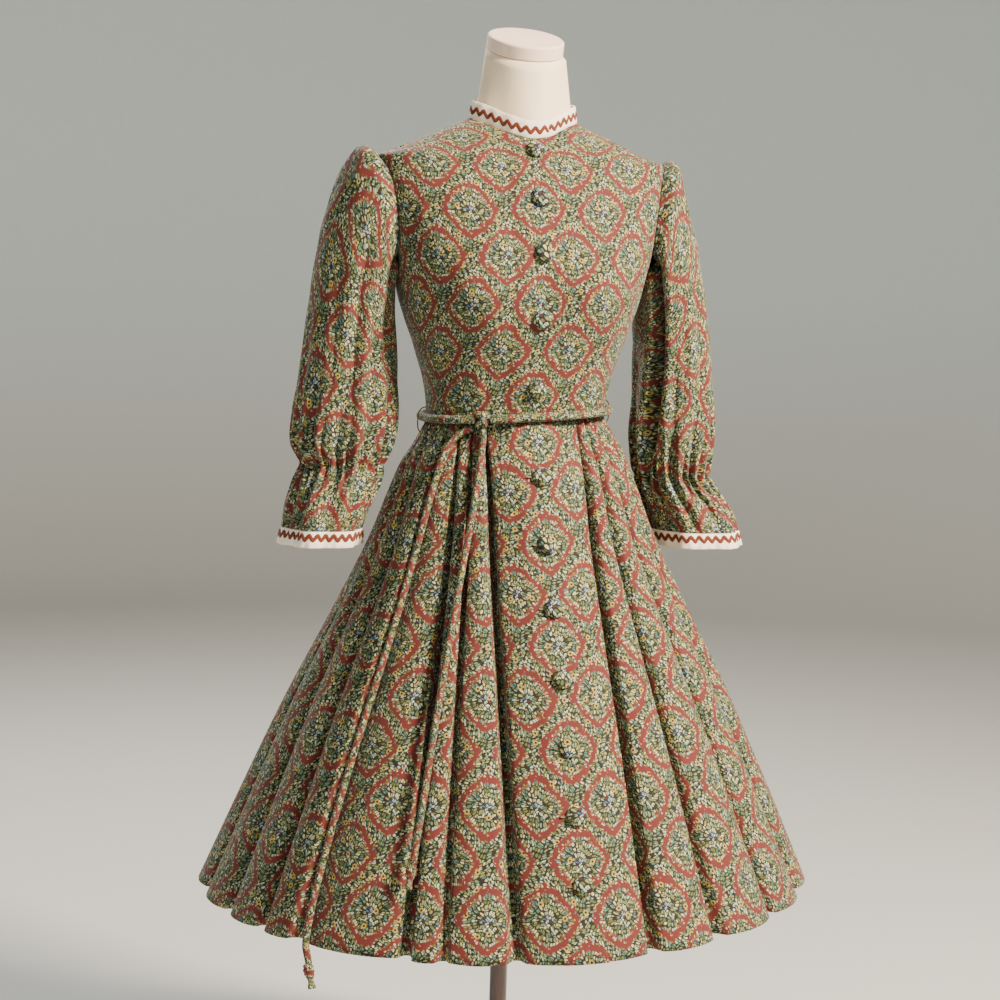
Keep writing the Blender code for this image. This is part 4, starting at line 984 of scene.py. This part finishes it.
sleeves = {
    "left": {
        "side": 1,
        "rows": (  # the inner edge's x and z, the outer edge's, the middle's y and half depth
            (0.1610, 1.1720, 0.1925, 1.3460, 0.000, 0.056),
            (0.1600, 1.1620, 0.2050, 1.3360, 0.004, 0.060),
            (0.1600, 1.1450, 0.2230, 1.2850, 0.009, 0.063),
            (0.1630, 1.1200, 0.2440, 1.2100, 0.014, 0.063),
            (0.1650, 1.0850, 0.2590, 1.1300, 0.017, 0.062),
            (0.1650, 1.0400, 0.2690, 1.0500, 0.018, 0.059),
            (0.1640, 1.0000, 0.2710, 1.0000, 0.018, 0.055),
            (0.1665, 0.9680, 0.2690, 0.9680, 0.018, 0.050),
            (0.1710, 0.9420, 0.2680, 0.9420, 0.018, 0.047),
            (0.1760, 0.9220, 0.2800, 0.9220, 0.018, 0.051),
            (0.1860, 0.8980, 0.3010, 0.8980, 0.018, 0.056),
            (0.1965, 0.8715, 0.3130, 0.8715, 0.018, 0.060),
        ),
        "folds": (  # turns at the top and bottom, height range, depth and width in degrees
            (117.0, 146.0, 1.310, 0.925, 0.0300, 12.0),
            (60.0, 66.0, 1.220, 0.990, 0.0040, 12.0),
            (88.0, 100.0, 1.180, 0.960, 0.0030, 9.0),
            (20.0, 34.0, 1.120, 0.970, 0.0030, 10.0),
            (276.0, 280.0, 1.240, 1.000, 0.0060, 13.0),
            (330.0, 322.0, 1.220, 0.980, 0.0040, 12.0),
        ),
        "elasticZ": 0.942, "gathers": 24, "seed": 11,
    },
    "right": {
        "side": -1,
        "rows": (
            (0.1610, 1.1720, 0.1960, 1.3480, 0.000, 0.056),
            (0.1595, 1.1620, 0.2130, 1.3420, 0.004, 0.060),
            (0.1580, 1.1450, 0.2350, 1.3000, 0.009, 0.063),
            (0.1550, 1.1200, 0.2530, 1.2280, 0.013, 0.063),
            (0.1520, 1.0850, 0.2640, 1.1450, 0.016, 0.062),
            (0.1500, 1.0420, 0.2720, 1.0660, 0.017, 0.060),
            (0.1500, 1.0050, 0.2790, 1.0100, 0.017, 0.057),
            (0.1555, 0.9800, 0.2790, 0.9800, 0.016, 0.053),
            (0.1660, 0.9550, 0.2690, 0.9550, 0.014, 0.047),
            (0.1710, 0.9320, 0.2765, 0.9320, 0.010, 0.050),
            (0.1840, 0.9040, 0.2860, 0.9040, 0.006, 0.054),
            (0.1940, 0.8765, 0.2925, 0.8765, 0.002, 0.056),
        ),
        "folds": (
            (84.0, 84.0, 1.270, 1.000, 0.0050, 12.0),
            (132.0, 126.0, 1.300, 1.040, 0.0060, 12.0),
            (108.0, 104.0, 1.200, 0.985, 0.0040, 9.0),
            (50.0, 62.0, 1.250, 1.020, 0.0030, 12.0),
            (300.0, 290.0, 1.240, 1.000, 0.0060, 13.0),
            (340.0, 334.0, 1.200, 0.980, 0.0040, 12.0),
        ),
        "elasticZ": 0.955, "gathers": 24, "seed": 23,
    },
}
sleeveDetail = {"rings": 150, "columns": 300, "gatherDepth": 0.0074, "shirrHalf": 0.0055,
                "flute": 0.0035, "flutes": 6, "flatWidth": 0.40, "tucks": 15,
                "tuckDepth": 0.0022, "tuckReach": 0.030, "gatherAbove": 0.042,
                "gatherBelow": 0.030, "elasticDepth": 0.0022, "capRise": 0.002, "waves": 0.0010,
                "printTop": 1.36}
cuff = {"height": 0.0205, "wall": 0.0013, "waves": 34, "braidDrop": 0.0078,
        "spreadIn": 0.0015, "spreadOut": 0.0045, "spreadDeep": 0.0020}


def sleeveRing(rows, turn):
    # Rows of the table, many or one, all round; the mirrored sleeve is turned over later
    innerX, innerZ, outerX, outerZ, centreY, halfDepth = (rows[:, i:i + 1] for i in range(6))
    x = (innerX + outerX) / 2 + (outerX - innerX) / 2 * np.cos(turn)
    z = (innerZ + outerZ) / 2 + (outerZ - innerZ) / 2 * np.cos(turn)
    y = centreY - halfDepth * np.sin(turn)
    return np.stack(np.broadcast_arrays(x, y, z), axis=-1)


def makeSleeve(word, s, d):
    count = d["columns"]
    turn = np.arange(count) / count * math.tau
    angle, z = armholePlace(turn)
    seam = bodyPoint(angle, z) + bodyOut(angle, z) * cloth["gap"]
    low = sleeveRing(np.array(s["rows"]), turn[None, :])
    rings = np.concatenate((seam[None], low))
    smooth = smoothRows(rings.reshape(len(rings), -1), d["rings"]).reshape(d["rings"], count, 3)
    index = np.linspace(0, len(s["rows"]), d["rings"])[:, None]
    z = smooth[..., 2]
    runs = runAlong(smooth)
    away = np.stack((np.cos(turn), -np.sin(turn), 0 * turn), axis=-1)[None]
    # Gathers at the elastic, uneven round the sleeve, and slower waves that run on from them
    uneven = 0.35 * np.sin(turn * 3 + s["seed"]) + 0.25 * np.sin(turn * 7 + 2 * s["seed"])
    phase = turn * s["gathers"] + uneven * 2.2
    sway = 0.25 * np.sin((z - s["elasticZ"]) * 70 + turn * 5)
    waves = 1 - 2.2 * np.abs(np.sin((phase + sway) / 2)) ** 1.2 + 0.2 * np.sin(2.1 * phase + sway)
    above = np.where(z > s["elasticZ"], d["gatherAbove"], d["gatherBelow"])
    reach = np.exp(-(np.abs(z - s["elasticZ"]) / above) ** 1.3)
    longer = np.exp(-(np.abs(z - s["elasticZ"]) / (2.4 * above)) ** 1.6)
    slowPhase = turn * 11 + s["seed"] + 0.9 * np.sin(turn * 4 + s["seed"])
    slow = (0.8 - 1.8 * np.abs(np.cos(slowPhase / 2)) ** 3) * longer
    move = -d["gatherDepth"] * (0.62 * waves * reach + 0.4 * reach)
    move = move + 0.9 * d["gatherDepth"] * slow * (1 - 0.55 * reach)
    shirr = np.exp(-((z - s["elasticZ"]) / d["shirrHalf"]) ** 2)
    move = move - d["elasticDepth"] * shirr
    move = move + ease(index, 9, 12) * d["flute"] * np.cos(d["flutes"] * turn)
    for top, bottom, topZ, bottomZ, depth, width in s["folds"]:
        share = (z - bottomZ) / (topZ - bottomZ)
        line = np.radians(bottom + (top - bottom) * share)
        apart = np.degrees(np.abs(np.remainder(turn - line + math.pi, math.tau) - math.pi)) / width
        rise = ease(z, bottomZ, bottomZ + (topZ - bottomZ) / 4)
        fall = 1 - ease(z, topZ - (topZ - bottomZ) / 3, topZ)
        groove = np.clip(1 - apart, 0, 1) ** 1.2 - 0.10 * np.exp(-((apart - 1.5) / 0.6) ** 2)
        move = move - depth * groove * rise * fall
    # The cap is eased in with small tucks at the top
    over = np.clip(np.cos(turn), 0, 1) ** 0.6
    tuck = np.sin(turn * d["tucks"] + np.sin(turn * 5)) * np.exp(-runs / d["tuckReach"])
    startIn = ease(runs, 0.0, 0.006)
    puffed = np.exp(-((runs - 0.016) / 0.012) ** 2)
    move = move + d["tuckDepth"] * tuck * over * startIn + d["capRise"] * over * startIn * puffed
    grain = turn / math.tau * d["flatWidth"]
    move = move + d["waves"] * softNoise(grain, z, 0.06, 0.10, s["seed"]) * startIn
    calm = 1 - ease(index, len(s["rows"]) - 1.2, len(s["rows"]))
    move = move * np.where(move < 0, 1, calm * 0.5 + 0.5)
    grid = smooth + away * move[..., None]
    flatV = d["printTop"] - runs.mean(axis=1)
    uv = flatMap(np.arange(count + 1)[None, :] / count * d["flatWidth"], flatV[:, None])
    finishSleeve(word, s, grid, uv)


def finishSleeve(word, s, grid, uv):
    # The cloth ends in a straight white band that flares a little, with the braid on it
    last = np.array(s["rows"])[-1:].copy()
    turn = np.arange(grid.shape[1]) / grid.shape[1] * math.tau
    last[0, 0] += cuff["spreadIn"]
    last[0, 2] += cuff["spreadOut"]
    last[0, 5] += cuff["spreadDeep"]
    last[0, (1, 3)] -= cuff["height"]
    top = grid[-1] - np.array((0, 0, cloth["gap"]))
    away = np.stack((np.cos(turn), -np.sin(turn), 0 * turn), axis=-1)
    low = sleeveRing(last, turn[None, :])[0]
    low = low + away * (sleeveDetail["flute"] * np.cos(sleeveDetail["flutes"] * turn))[:, None]
    shares = np.array((0.0, 0.03, 0.2, 0.4, 0.6, 0.8, 0.97, 1.0))
    band = top[None] + (low - top)[None] * shares[:, None, None]
    puff = np.array((-0.0003, 0.0, 0.0003, 0.0004, 0.0004, 0.0003, 0.0, -0.0003))
    ripple = 0.0007 * np.sin(turn * 13 + s["seed"]) + 0.0005 * np.sin(turn * 29)
    band = band + away[None] * (puff[:, None] + ripple[None] * shares[:, None])[..., None]
    if s["side"] < 0:
        mirror = np.array((-1.0, 1.0, 1.0))
        grid, band, uv = (grid * mirror)[:, ::-1], (band * mirror)[:, ::-1], uv[:, ::-1]
    name = word.capitalize()
    piece = addCloth("sleeve" + name, grid, uv, cloth["wall"], printedCotton, True)
    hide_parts("sleeve_" + word)
    bandUv = flatMap(np.arange(band.shape[1] + 1)[None, :] * 0.0012, shares[:, None] * 0.02)
    bandPiece = addCloth("cuffBand" + name, band, bandUv, cuff["wall"], whiteCotton, True)
    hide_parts("cuff_band_" + word)
    tape = addBraid("cuffRicrac" + name, band[0], band[-1], cuff["waves"], cuff["braidDrop"], True)
    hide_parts("cuff_ricrac_" + word)


for sleeveWord, sleeveSizes in sleeves.items():
    makeSleeve(sleeveWord, sleeveSizes, sleeveDetail)
print("sleeves made")


# Skirt

skirtDetail = {
    "sectorSteps": 18, "grooveSteps": 12, "rows": 88,
    "depthRows": ((0.432, 1.0), (0.555, 1.60), (0.780, 1.95), (0.925, 1.75), (0.965, 1.40),
                  (0.995, 0.90), (1.010, 0.42), (1.0195, 0.20)),  # of the folds' whole depth
    "narrow": 0.66,  # of the folds' width in the CAD
    "edgeDepth": 0.07, "sharpness": 2.4,  # of a fold: how it starts at its edges and how it falls
    "roundShare": 0.085, "roundMost": 0.0085,  # how round the cloth is between two folds
    "rippleDepth": 0.0014, "tuckDepth": 0.0026, "tuckPitch": 0.0085, "tuckReach": 0.045,
    "frontFolds": 6,  # of each front, from the closing to its side seam
    "printStretch": (1.045, 1.08), "printRise": 0.0125,  # as the photo shows it on the skirt
}


def foldAngles(z):
    rows = np.array(skirtFolds)
    start, end = np.radians(rows[:, 0]), np.radians(rows[:, 1])
    middle = (start + end) / 2
    top = skirtPlace(start, skirtRows["z"][-1])[:, :2]
    low = skirtPlace(end, skirtRows["z"][0])[:, :2]
    first, last = np.linalg.norm(top, axis=1), np.linalg.norm(low, axis=1)
    share = (skirtRadius(middle[None, :], z[:, None]) - first) / (last - first)
    place = top[None] + (low - top)[None] * share[..., None]
    angle = np.arctan2(place[..., 0], -place[..., 1])
    return middle + np.remainder(angle - middle + math.pi, math.tau) - math.pi


def skirtGrid(d):
    hem, top = skirtRows["z"][0], skirtRows["z"][-1]
    z = hem + (top - hem) * np.linspace(0, 1, d["rows"] + 1) ** 0.92
    rows = np.array(skirtFolds)
    share = along(skirtRows, "foldShare", z)[:, None]
    angle = foldAngles(z)
    half = rows[:, 3] * along(skirtRows, "widthShare", z)[:, None] / skirtRadius(angle, z[:, None])
    half = half * d["narrow"]
    depth = rows[:, 2] * along(table(("z", "depth"), d["depthRows"]), "depth", z)[:, None]
    front = along(skirtRows, "front", z)[:, None]
    first = np.arctan2(closing["underEdge"], front)
    last = math.tau + np.arctan2(closing["overEdge"], front)
    starts = np.concatenate((first, angle + half), axis=1)
    ends = np.concatenate((angle - half, last), axis=1)
    reach = (ends - starts) * skirtRadius((starts + ends) / 2, z[:, None])
    bulge = np.minimum(d["roundShare"] * reach, d["roundMost"]) * share ** 0.5
    edge = np.concatenate((0 * z[:, None], d["edgeDepth"] * depth, 0 * z[:, None]), axis=1)
    angles, insets = [], []  # by turns a stretch of cloth between two folds, and a fold
    s = np.linspace(0, 1, d["sectorSteps"] + 1)
    t = np.linspace(-1, 1, d["grooveSteps"] + 1)[1:-1]
    sectors = len(rows) + 1
    for k in range(sectors):
        angles.append(starts[:, k:k + 1] + (ends - starts)[:, k:k + 1] * s)
        sides = np.where(s < 0.5, k > 0, k < sectors - 1)
        curve = sides * np.abs(2 * s - 1) ** d["sharpness"]
        base = (edge[:, k:k + 1] * (1 - s) + edge[:, k + 1:k + 2] * s) * (1 - np.sin(math.pi * s))
        insets.append(base + bulge[:, k:k + 1] * curve)
        if k < sectors - 1:
            angles.append(angle[:, k:k + 1] + half[:, k:k + 1] * t)
            away = 1 - np.abs(t)
            shape = d["edgeDepth"] + (1 - d["edgeDepth"]) * (1 - (1 - away) ** d["sharpness"])
            both = bulge[:, k:k + 1] * (1 - t) / 2 + bulge[:, k + 1:k + 2] * (1 + t) / 2
            insets.append(depth[:, k:k + 1] * shape + both)
    angles, insets = np.concatenate(angles, axis=1), np.concatenate(insets, axis=1)
    z = np.repeat(z[:, None], angles.shape[1], axis=1)
    down = top - z
    arc = angles * 0.25
    calm = np.ones(angles.shape[1])
    calm[:8] = calm[-8:] = 0.0
    ripple = 0.5 + 0.5 * np.clip(softNoise(arc, z, 0.040, 0.55, 3), -1, 1)
    insets = insets + d["rippleDepth"] * ripple * share * calm
    tucks = 0.5 + 0.5 * np.sin(angles * 0.105 / d["tuckPitch"] * math.tau + np.sin(angles * 9))
    tucks = d["tuckDepth"] * tucks * np.exp(-down / d["tuckReach"])
    insets = insets + tucks * ease(down, 0.0, 0.006) * calm
    return skirtPlace(angles, z, insets)


def makeSkirt(d):
    grid = skirtGrid(d)
    perFold = d["sectorSteps"] + d["grooveSteps"]
    middle = d["sectorSteps"] // 2
    leftSeam = perFold * d["frontFolds"] + middle
    rightSeam = perFold * (len(skirtFolds) - d["frontFolds"]) + middle
    out = waysOut(grid)
    lift = overlapLift(grid[..., 0]) * (np.arange(grid.shape[1]) > rightSeam)
    grid = grid + unit(out * flat) * lift[..., None]
    runs = runAlong(grid, 1)
    climb = np.linalg.norm(np.diff(grid, axis=0), axis=2).mean(axis=1)
    climb = np.concatenate(([0], np.cumsum(climb)))
    # The print is counted from the middle of each stretch, so its rows stay upright there
    column = np.arange(grid.shape[1])
    sector = np.clip((column + d["grooveSteps"] // 2) // perFold, 0, len(skirtFolds))
    centre = sector * perFold + middle
    centre = np.where(sector == 0, 0, centre)
    centre = np.where(sector == len(skirtFolds), grid.shape[1] - 1, centre)
    u = runs[0, centre][None, :] + runs - runs[:, centre]
    uv = flatMap(u, climb[:, None])
    panels = (
        ("skirtFrontLeft", "skirt_front_left", 0, leftSeam, "left"),
        ("skirtBack", "skirt_back", leftSeam, rightSeam, "back"),
        ("skirtFrontRight", "skirt_front_right", rightSeam, grid.shape[1] - 1, "right"),
    )
    for name, node, first, last, word in panels:
        panel = grid[:, first:last + 1].copy()
        if first:
            panel[:, 0] += unit(panel[:, 1] - panel[:, 0]) * cloth["gap"] / 2
        if last < grid.shape[1] - 1:
            panel[:, -1] += unit(panel[:, -2] - panel[:, -1]) * cloth["gap"] / 2
        move = np.array((0.0, d["printRise"] * d["printStretch"][1]))
        if word == "left":
            move[0] += closing["underEdge"]
        if word == "right":
            move[0] += closing["overEdge"] - runs[0, -1]  # counted back from the closing's edge
        printed = (uv[:, first:last + 1] + move) / d["printStretch"]
        piece = addCloth(name, panel, printed, cloth["wall"], printedCotton)
        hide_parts(node)


makeSkirt(skirtDetail)
print("skirt made")


# Covered buttons and their worked buttonholes

buttonSizes = {
    "heights": (1.345, 1.288, 1.222, 1.142, 1.056,
                0.951, 0.873, 0.801, 0.724, 0.651, 0.580, 0.509),
    "radius": 0.0120, "height": 0.0075, "puckers": 22, "puckerDepth": 0.00035,
    "holeHalf": 0.0155, "holeLift": 0.0007, "holeWidth": 0.0011, "holeShift": -0.0030,
}


def nodePoints(node):
    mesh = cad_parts[node].data
    points = np.empty(len(mesh.vertices) * 3)
    mesh.vertices.foreach_get("co", points)
    return points.reshape(-1, 3)


def makeButtons(b):
    radius, height = b["radius"], b["height"]
    profile = smoothRows((
        (0.0008, 0.0), (radius * 0.90, 0.0), (radius * 0.985, height * 0.14),
        (radius, height * 0.30), (radius * 0.965, height * 0.50), (radius * 0.82, height * 0.74),
        (radius * 0.55, height * 0.91), (radius * 0.25, height * 0.985), (0.0004, height)), 34)

    def puckers(r, h, turns):
        rim = np.clip(r / radius - 0.62, 0, 1) / 0.38 * (h > height * 0.08)
        wave = np.sin(turns * b["puckers"] + np.sin(turns * 3)) * b["puckerDepth"] * rim
        return r - np.abs(wave), h - np.abs(wave) * 0.8

    for number, z in enumerate(b["heights"], 1):
        upper = z > waist["z"]
        place = (bodyPoint if upper else skirtPlace)(0.0, z)
        out = (bodyOut if upper else skirtOut)(0.0, z)
        node = f"button_{number:02d}"
        points = nodePoints(node)
        low = (points @ out).min() - place @ out
        base = place + out * low
        button = addTurned(f"button{number:02d}", profile, 66, base, out, rouleauCotton, puckers,
                           True)
        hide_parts(node)
        # A bar of buttonhole stitch that shows at the side of the button
        across = unit(np.cross(np.array((0.0, 0.0, 1.0)), out))
        up = np.cross(out, across)
        turns = np.linspace(0, math.tau, 97)[:-1]
        stretch = np.sign(np.cos(turns)) * np.abs(np.cos(turns)) ** 0.7
        stitch = 0.00018 * np.sin(turns * 60)
        line = (place + out * (overlapLift(0.0) + b["holeLift"]))[None] \
            + across * (stretch * b["holeHalf"] + b["holeShift"])[:, None] \
            + up * (np.sin(turns) * b["holeWidth"] + stitch)[:, None]
        hole = addTube(f"buttonhole{number:02d}", line, 0.0006, 6, buttonholeThread, True)


makeButtons(buttonSizes)
print("buttons made")


# Rouleau belt, its knot and the thread loops that hold it

beltSizes = {"radius": 0.0050, "full": 0.0055, "clear": 0.0012, "rise": 0.0022, "points": 300,
             "sides": 20, "closingLift": 0.0034,  # over the closing's layers, between these x
             "liftFrom": 0.060, "liftTo": 0.035,
             "knotAngle": -36.0, "knotHalf": (0.0088, 0.0075, 0.0105), "strand": 0.0043}
loopSizes = {
    "radius": 0.00078, "uneven": 0.00010, "points": 40,
    "rows": (  # out from the bodice, and up from the belt's middle
        (0.0032, 0.0125), (0.0085, 0.0110), (0.0124, 0.0060), (0.0131, 0.0),
        (0.0134, -0.0080), (0.0124, -0.0150), (0.0092, -0.0195),
    ),
}


def beltPlace(angle, above=0.0, clear=beltSizes["radius"] + beltSizes["clear"]):
    place = bodyPoint(angle, waist["z"])
    out = unit(bodyOut(angle, waist["z"]) * flat)
    away = ease(np.abs(place[..., 0]), beltSizes["liftTo"], beltSizes["liftFrom"])
    layers = np.where(place[..., 1] < 0, 1 - away, 0)
    place = place + out * (clear + beltSizes["closingLift"] * layers)[..., None]
    place[..., 2] = waist["z"] + waist["lean"] * place[..., 0] + beltSizes["rise"] + above
    return place


def makeBelt(b):
    angle = math.radians(b["knotAngle"])
    knot = beltPlace(np.array(angle))
    gap = (b["knotHalf"][0] + 0.0002) / np.linalg.norm(knot[:2])
    angles = np.linspace(angle + gap, angle - gap + math.tau, b["points"])
    path = beltPlace(angles)
    count = np.arange(len(path))
    swell = 0.97 + 0.035 * np.sin(count * 0.7) + 0.02 * np.sin(count * 1.9)
    belt = addTube("belt", path, b["full"] * swell, b["sides"], rouleauCotton)
    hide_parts("belt")
    ahead = np.array((math.cos(angle), math.sin(angle), 0.0))
    out = np.array((math.sin(angle), -math.cos(angle), 0.0))
    up = np.array((0.0, 0.0, 1.0))
    centre = knot + out * (b["knotHalf"][1] - b["radius"])
    turns = np.linspace(0, math.tau, 73)[:-1]
    wide, deep, tall = (half - b["strand"] * 0.9 for half in b["knotHalf"])
    for word, lean, size in (("Over", 0.75, 1.0), ("Under", -0.75, 0.92)):
        path = centre + out * (np.cos(turns) * deep * size)[:, None] \
            + up * (np.sin(turns) * tall * size)[:, None] \
            + ahead * (wide * (lean * np.sin(turns) + 0.35 * np.cos(2 * turns)))[:, None]
        strand = addTube("knot" + word, path, b["strand"] * 0.95, 16, rouleauCotton, True)
        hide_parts("belt_knot")


def makeLoops(d):
    rows = smoothRows(d["rows"], d["points"])
    for word, side in (("Left", 1), ("Right", -1)):
        path = [beltPlace(np.array(side * math.pi / 2), above, clear) for clear, above in rows]
        count = np.arange(len(path))
        radius = d["radius"] + d["uneven"] * np.sin(count * 2.4)
        loop = addTube("beltLoop" + word, path, radius, 10, loopThread)
        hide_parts("belt_loop_" + word.lower())


makeBelt(beltSizes)
makeLoops(loopSizes)
print("belt made")


# Dress form: jersey body and neck cap, turned pole and base

form = {"ease": 0.0062, "waistEase": 0.0105, "waistReach": 0.045, "columns": 96,
        "capHeight": 0.018, "capRound": 0.0035, "bottom": 0.780, "neckInset": 0.0060,
        "shoulderZ": 1.300, "capReach": 0.0440, "capRise": 0.0016}
stand = {
    "pole": (  # radius and height
        (0.0112, 0.0243), (0.0113, 0.0260), (0.0113, 0.20), (0.0113, 0.45),
        (0.0113, 0.70), (0.0113, 0.7780), (0.0112, 0.7797),
    ),
    "baseUnder": ((0.178, 0.0), (0.180, 0.002), (0.180, 0.014)),
    "edgeRound": 0.008, "edgeMiddle": (0.172, 0.016),
    "baseTop": ((0.140, 0.0240), (0.138, 0.0232), (0.136, 0.0240), (0.060, 0.0240),
                (0.002, 0.0240)),
}


def formPlace(angle, z):
    atWaist = np.exp(-((z - waist["z"]) / form["waistReach"]) ** 2)
    inset = form["ease"] + form["waistEase"] * atWaist
    return bodyPoint(angle, z) - bodyOut(angle, z) * inset[..., None]


def addRings(name, rings, material, node):
    rings = np.array(rings)
    rows, columns = rings.shape[:2]
    piece = addPiece(name, rings.reshape(-1, 3), ringFaces(rows, columns), None, material)
    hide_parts(node)
    return piece


def makeForm(f):
    angles = np.linspace(0, math.tau, f["columns"], endpoint=False)
    shoulder = f["shoulderZ"]
    rings = [formPlace(angles, np.full(len(angles), z))
             for z in np.linspace(f["bottom"], shoulder, 53)]
    for share in np.linspace(0, 1, 14)[1:]:
        rings.append(formPlace(angles, shoulder + (neckZ(angles) - shoulder) * share))
    ahead = np.stack((np.sin(angles), -np.cos(angles), 0 * angles), axis=-1)
    base = neckBase(angles, False) - ahead * f["neckInset"]
    tops = neckTop(angles, f["neckInset"])
    for share in np.linspace(0, 1, 26)[1:-6]:
        rings.append(base + (tops - base) * share)
    slope = unit(np.array((0.0, -neck["tilt"], 1.0)))
    seam = tops - slope * f["capHeight"]
    rings += [seam - slope * 0.0016, seam - slope * 0.0005 - ahead * 0.0008]
    addRings("formJersey", rings, creamJersey, "form_torso")
    cap = [seam + slope * 0.0004 - ahead * 0.0008, seam + slope * 0.0014]
    for share in np.linspace(0.15, 1, 8):
        cap.append(seam + (tops - slope * f["capRound"] - seam) * share)
    for turn in np.linspace(0, math.pi / 2, 8)[1:]:
        inset = f["capRound"] * (1 - math.cos(turn))
        cap.append(neckTop(angles, f["neckInset"] + inset)
                   - slope * f["capRound"] * (1 - math.sin(turn)))
    for share in np.linspace(0, 1, 12)[1:]:
        ring = neckTop(angles, f["neckInset"] + f["capRound"] + f["capReach"] * share)
        cap.append(ring + slope * f["capRise"] * math.sin(share * math.pi / 2))
    addRings("formNeckCap", cap, capJersey, "form_neck_cap")


def makeStand(d):
    edge = d["edgeRound"]
    base = list(d["baseUnder"])
    wide, low = d["edgeMiddle"]
    base += [(wide + edge * math.cos(t), low + edge * math.sin(t))
             for t in np.linspace(0, math.pi / 2, 9)]
    for name, node, profile, steps in (
            ("standPole", "form_pole", smoothRows(d["pole"], 60), 48),
            ("standBase", "form_base", base + list(d["baseTop"]), 128)):
        piece = addTurned(name, profile, steps, (0, 0, 0), (0, 0, 1), stainedBeech)
        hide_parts(node)


makeForm(form)
makeStand(stand)
print("dress form made")


# Floor and light

studio = {
    "floor": "#c6c8c6", "wall": "#cfdfe6", "rolled": "#c2cccd", "sky": 0.10,
    "air": (1.0, 0.97, 0.93, 1.0), "aimHeight": 0.95, "drop": 0.0002,
    "floorRadius": 5.0, "wallCurve": 1.8, "wallHeight": 4.2, "steps": 72,
    "lights": (  # place, watts, width, colour
        ((1.80, -1.95, 2.95), 480, 0.60, "#ffe9d0"),
        ((-2.1, -2.7, 2.4), 30, 1.3, "#fff4e8"),
        ((-0.6, 2.4, 3.0), 110, 1.6, "#fffaf4"),
    ),
}


def makeStudio(s):
    # A round painted floor that curves up into a wall, with faint roller marks
    m = newMaterial("paintedBoard")
    where = addNode(m, "TexCoord", {})
    marks = addNode(m, "TexNoise", {"Scale": 40.0, "Detail": 3.0,
                                    "Vector": where.outputs["Object"]})
    shade = addNode(m, "MapRange", {"To Min": 0.0, "To Max": 0.30}, marks.outputs["Fac"])
    height = addNode(m, "SeparateXYZ", {}, where.outputs["Object"]).outputs["Z"]
    onWall = addNode(m, "MapRange", {"From Min": 0.02, "From Max": 1.2}, height)
    plain = mixColours(m, onWall, linearColour(s["floor"]), linearColour(s["wall"]))
    base = mixColours(m, shade, plain, linearColour(s["rolled"]))
    finishMaterial(m, base, marks.outputs["Fac"], {"Roughness": 0.85, "IOR": 1.45,
                                                   "bumpDepth": 0.0003})
    radius, curve, steps = s["floorRadius"], s["wallCurve"], s["steps"]
    profile = [(0.001, 0.0), (radius, 0.0)]
    profile += [(radius + curve * math.sin(t), curve - curve * math.cos(t))
                for t in np.linspace(0.1, math.pi / 2, 14)]
    profile += [(radius + curve, s["wallHeight"])]
    points = [(r * math.cos(turn), r * math.sin(turn), z - s["drop"]) for r, z in profile
              for turn in np.linspace(0, math.tau, steps, endpoint=False)]
    board = addMesh("studioBoard", points, ringFaces(len(profile), steps, False), m)
    world = bpy.data.worlds.new("studioAir")
    world.use_nodes = True
    background = world.node_tree.nodes["Background"]
    background.inputs["Color"].default_value = s["air"]
    background.inputs["Strength"].default_value = s["sky"]
    bpy.context.scene.world = world
    for number, (place, watts, width, colour) in enumerate(s["lights"], 1):
        data = bpy.data.lights.new(f"softbox{number}", "AREA")
        data.energy, data.size = watts, width
        data.color = linearColour(colour)[:3]
        light = bpy.data.objects.new(f"softbox{number}", data)
        aim = Vector((0, 0, s["aimHeight"])) - Vector(place)
        light.matrix_world = Matrix.Translation(Vector(place)) \
            @ aim.to_track_quat("-Z", "Y").to_matrix().to_4x4()
        bpy.context.collection.objects.link(light)


makeStudio(studio)
print("studio made")
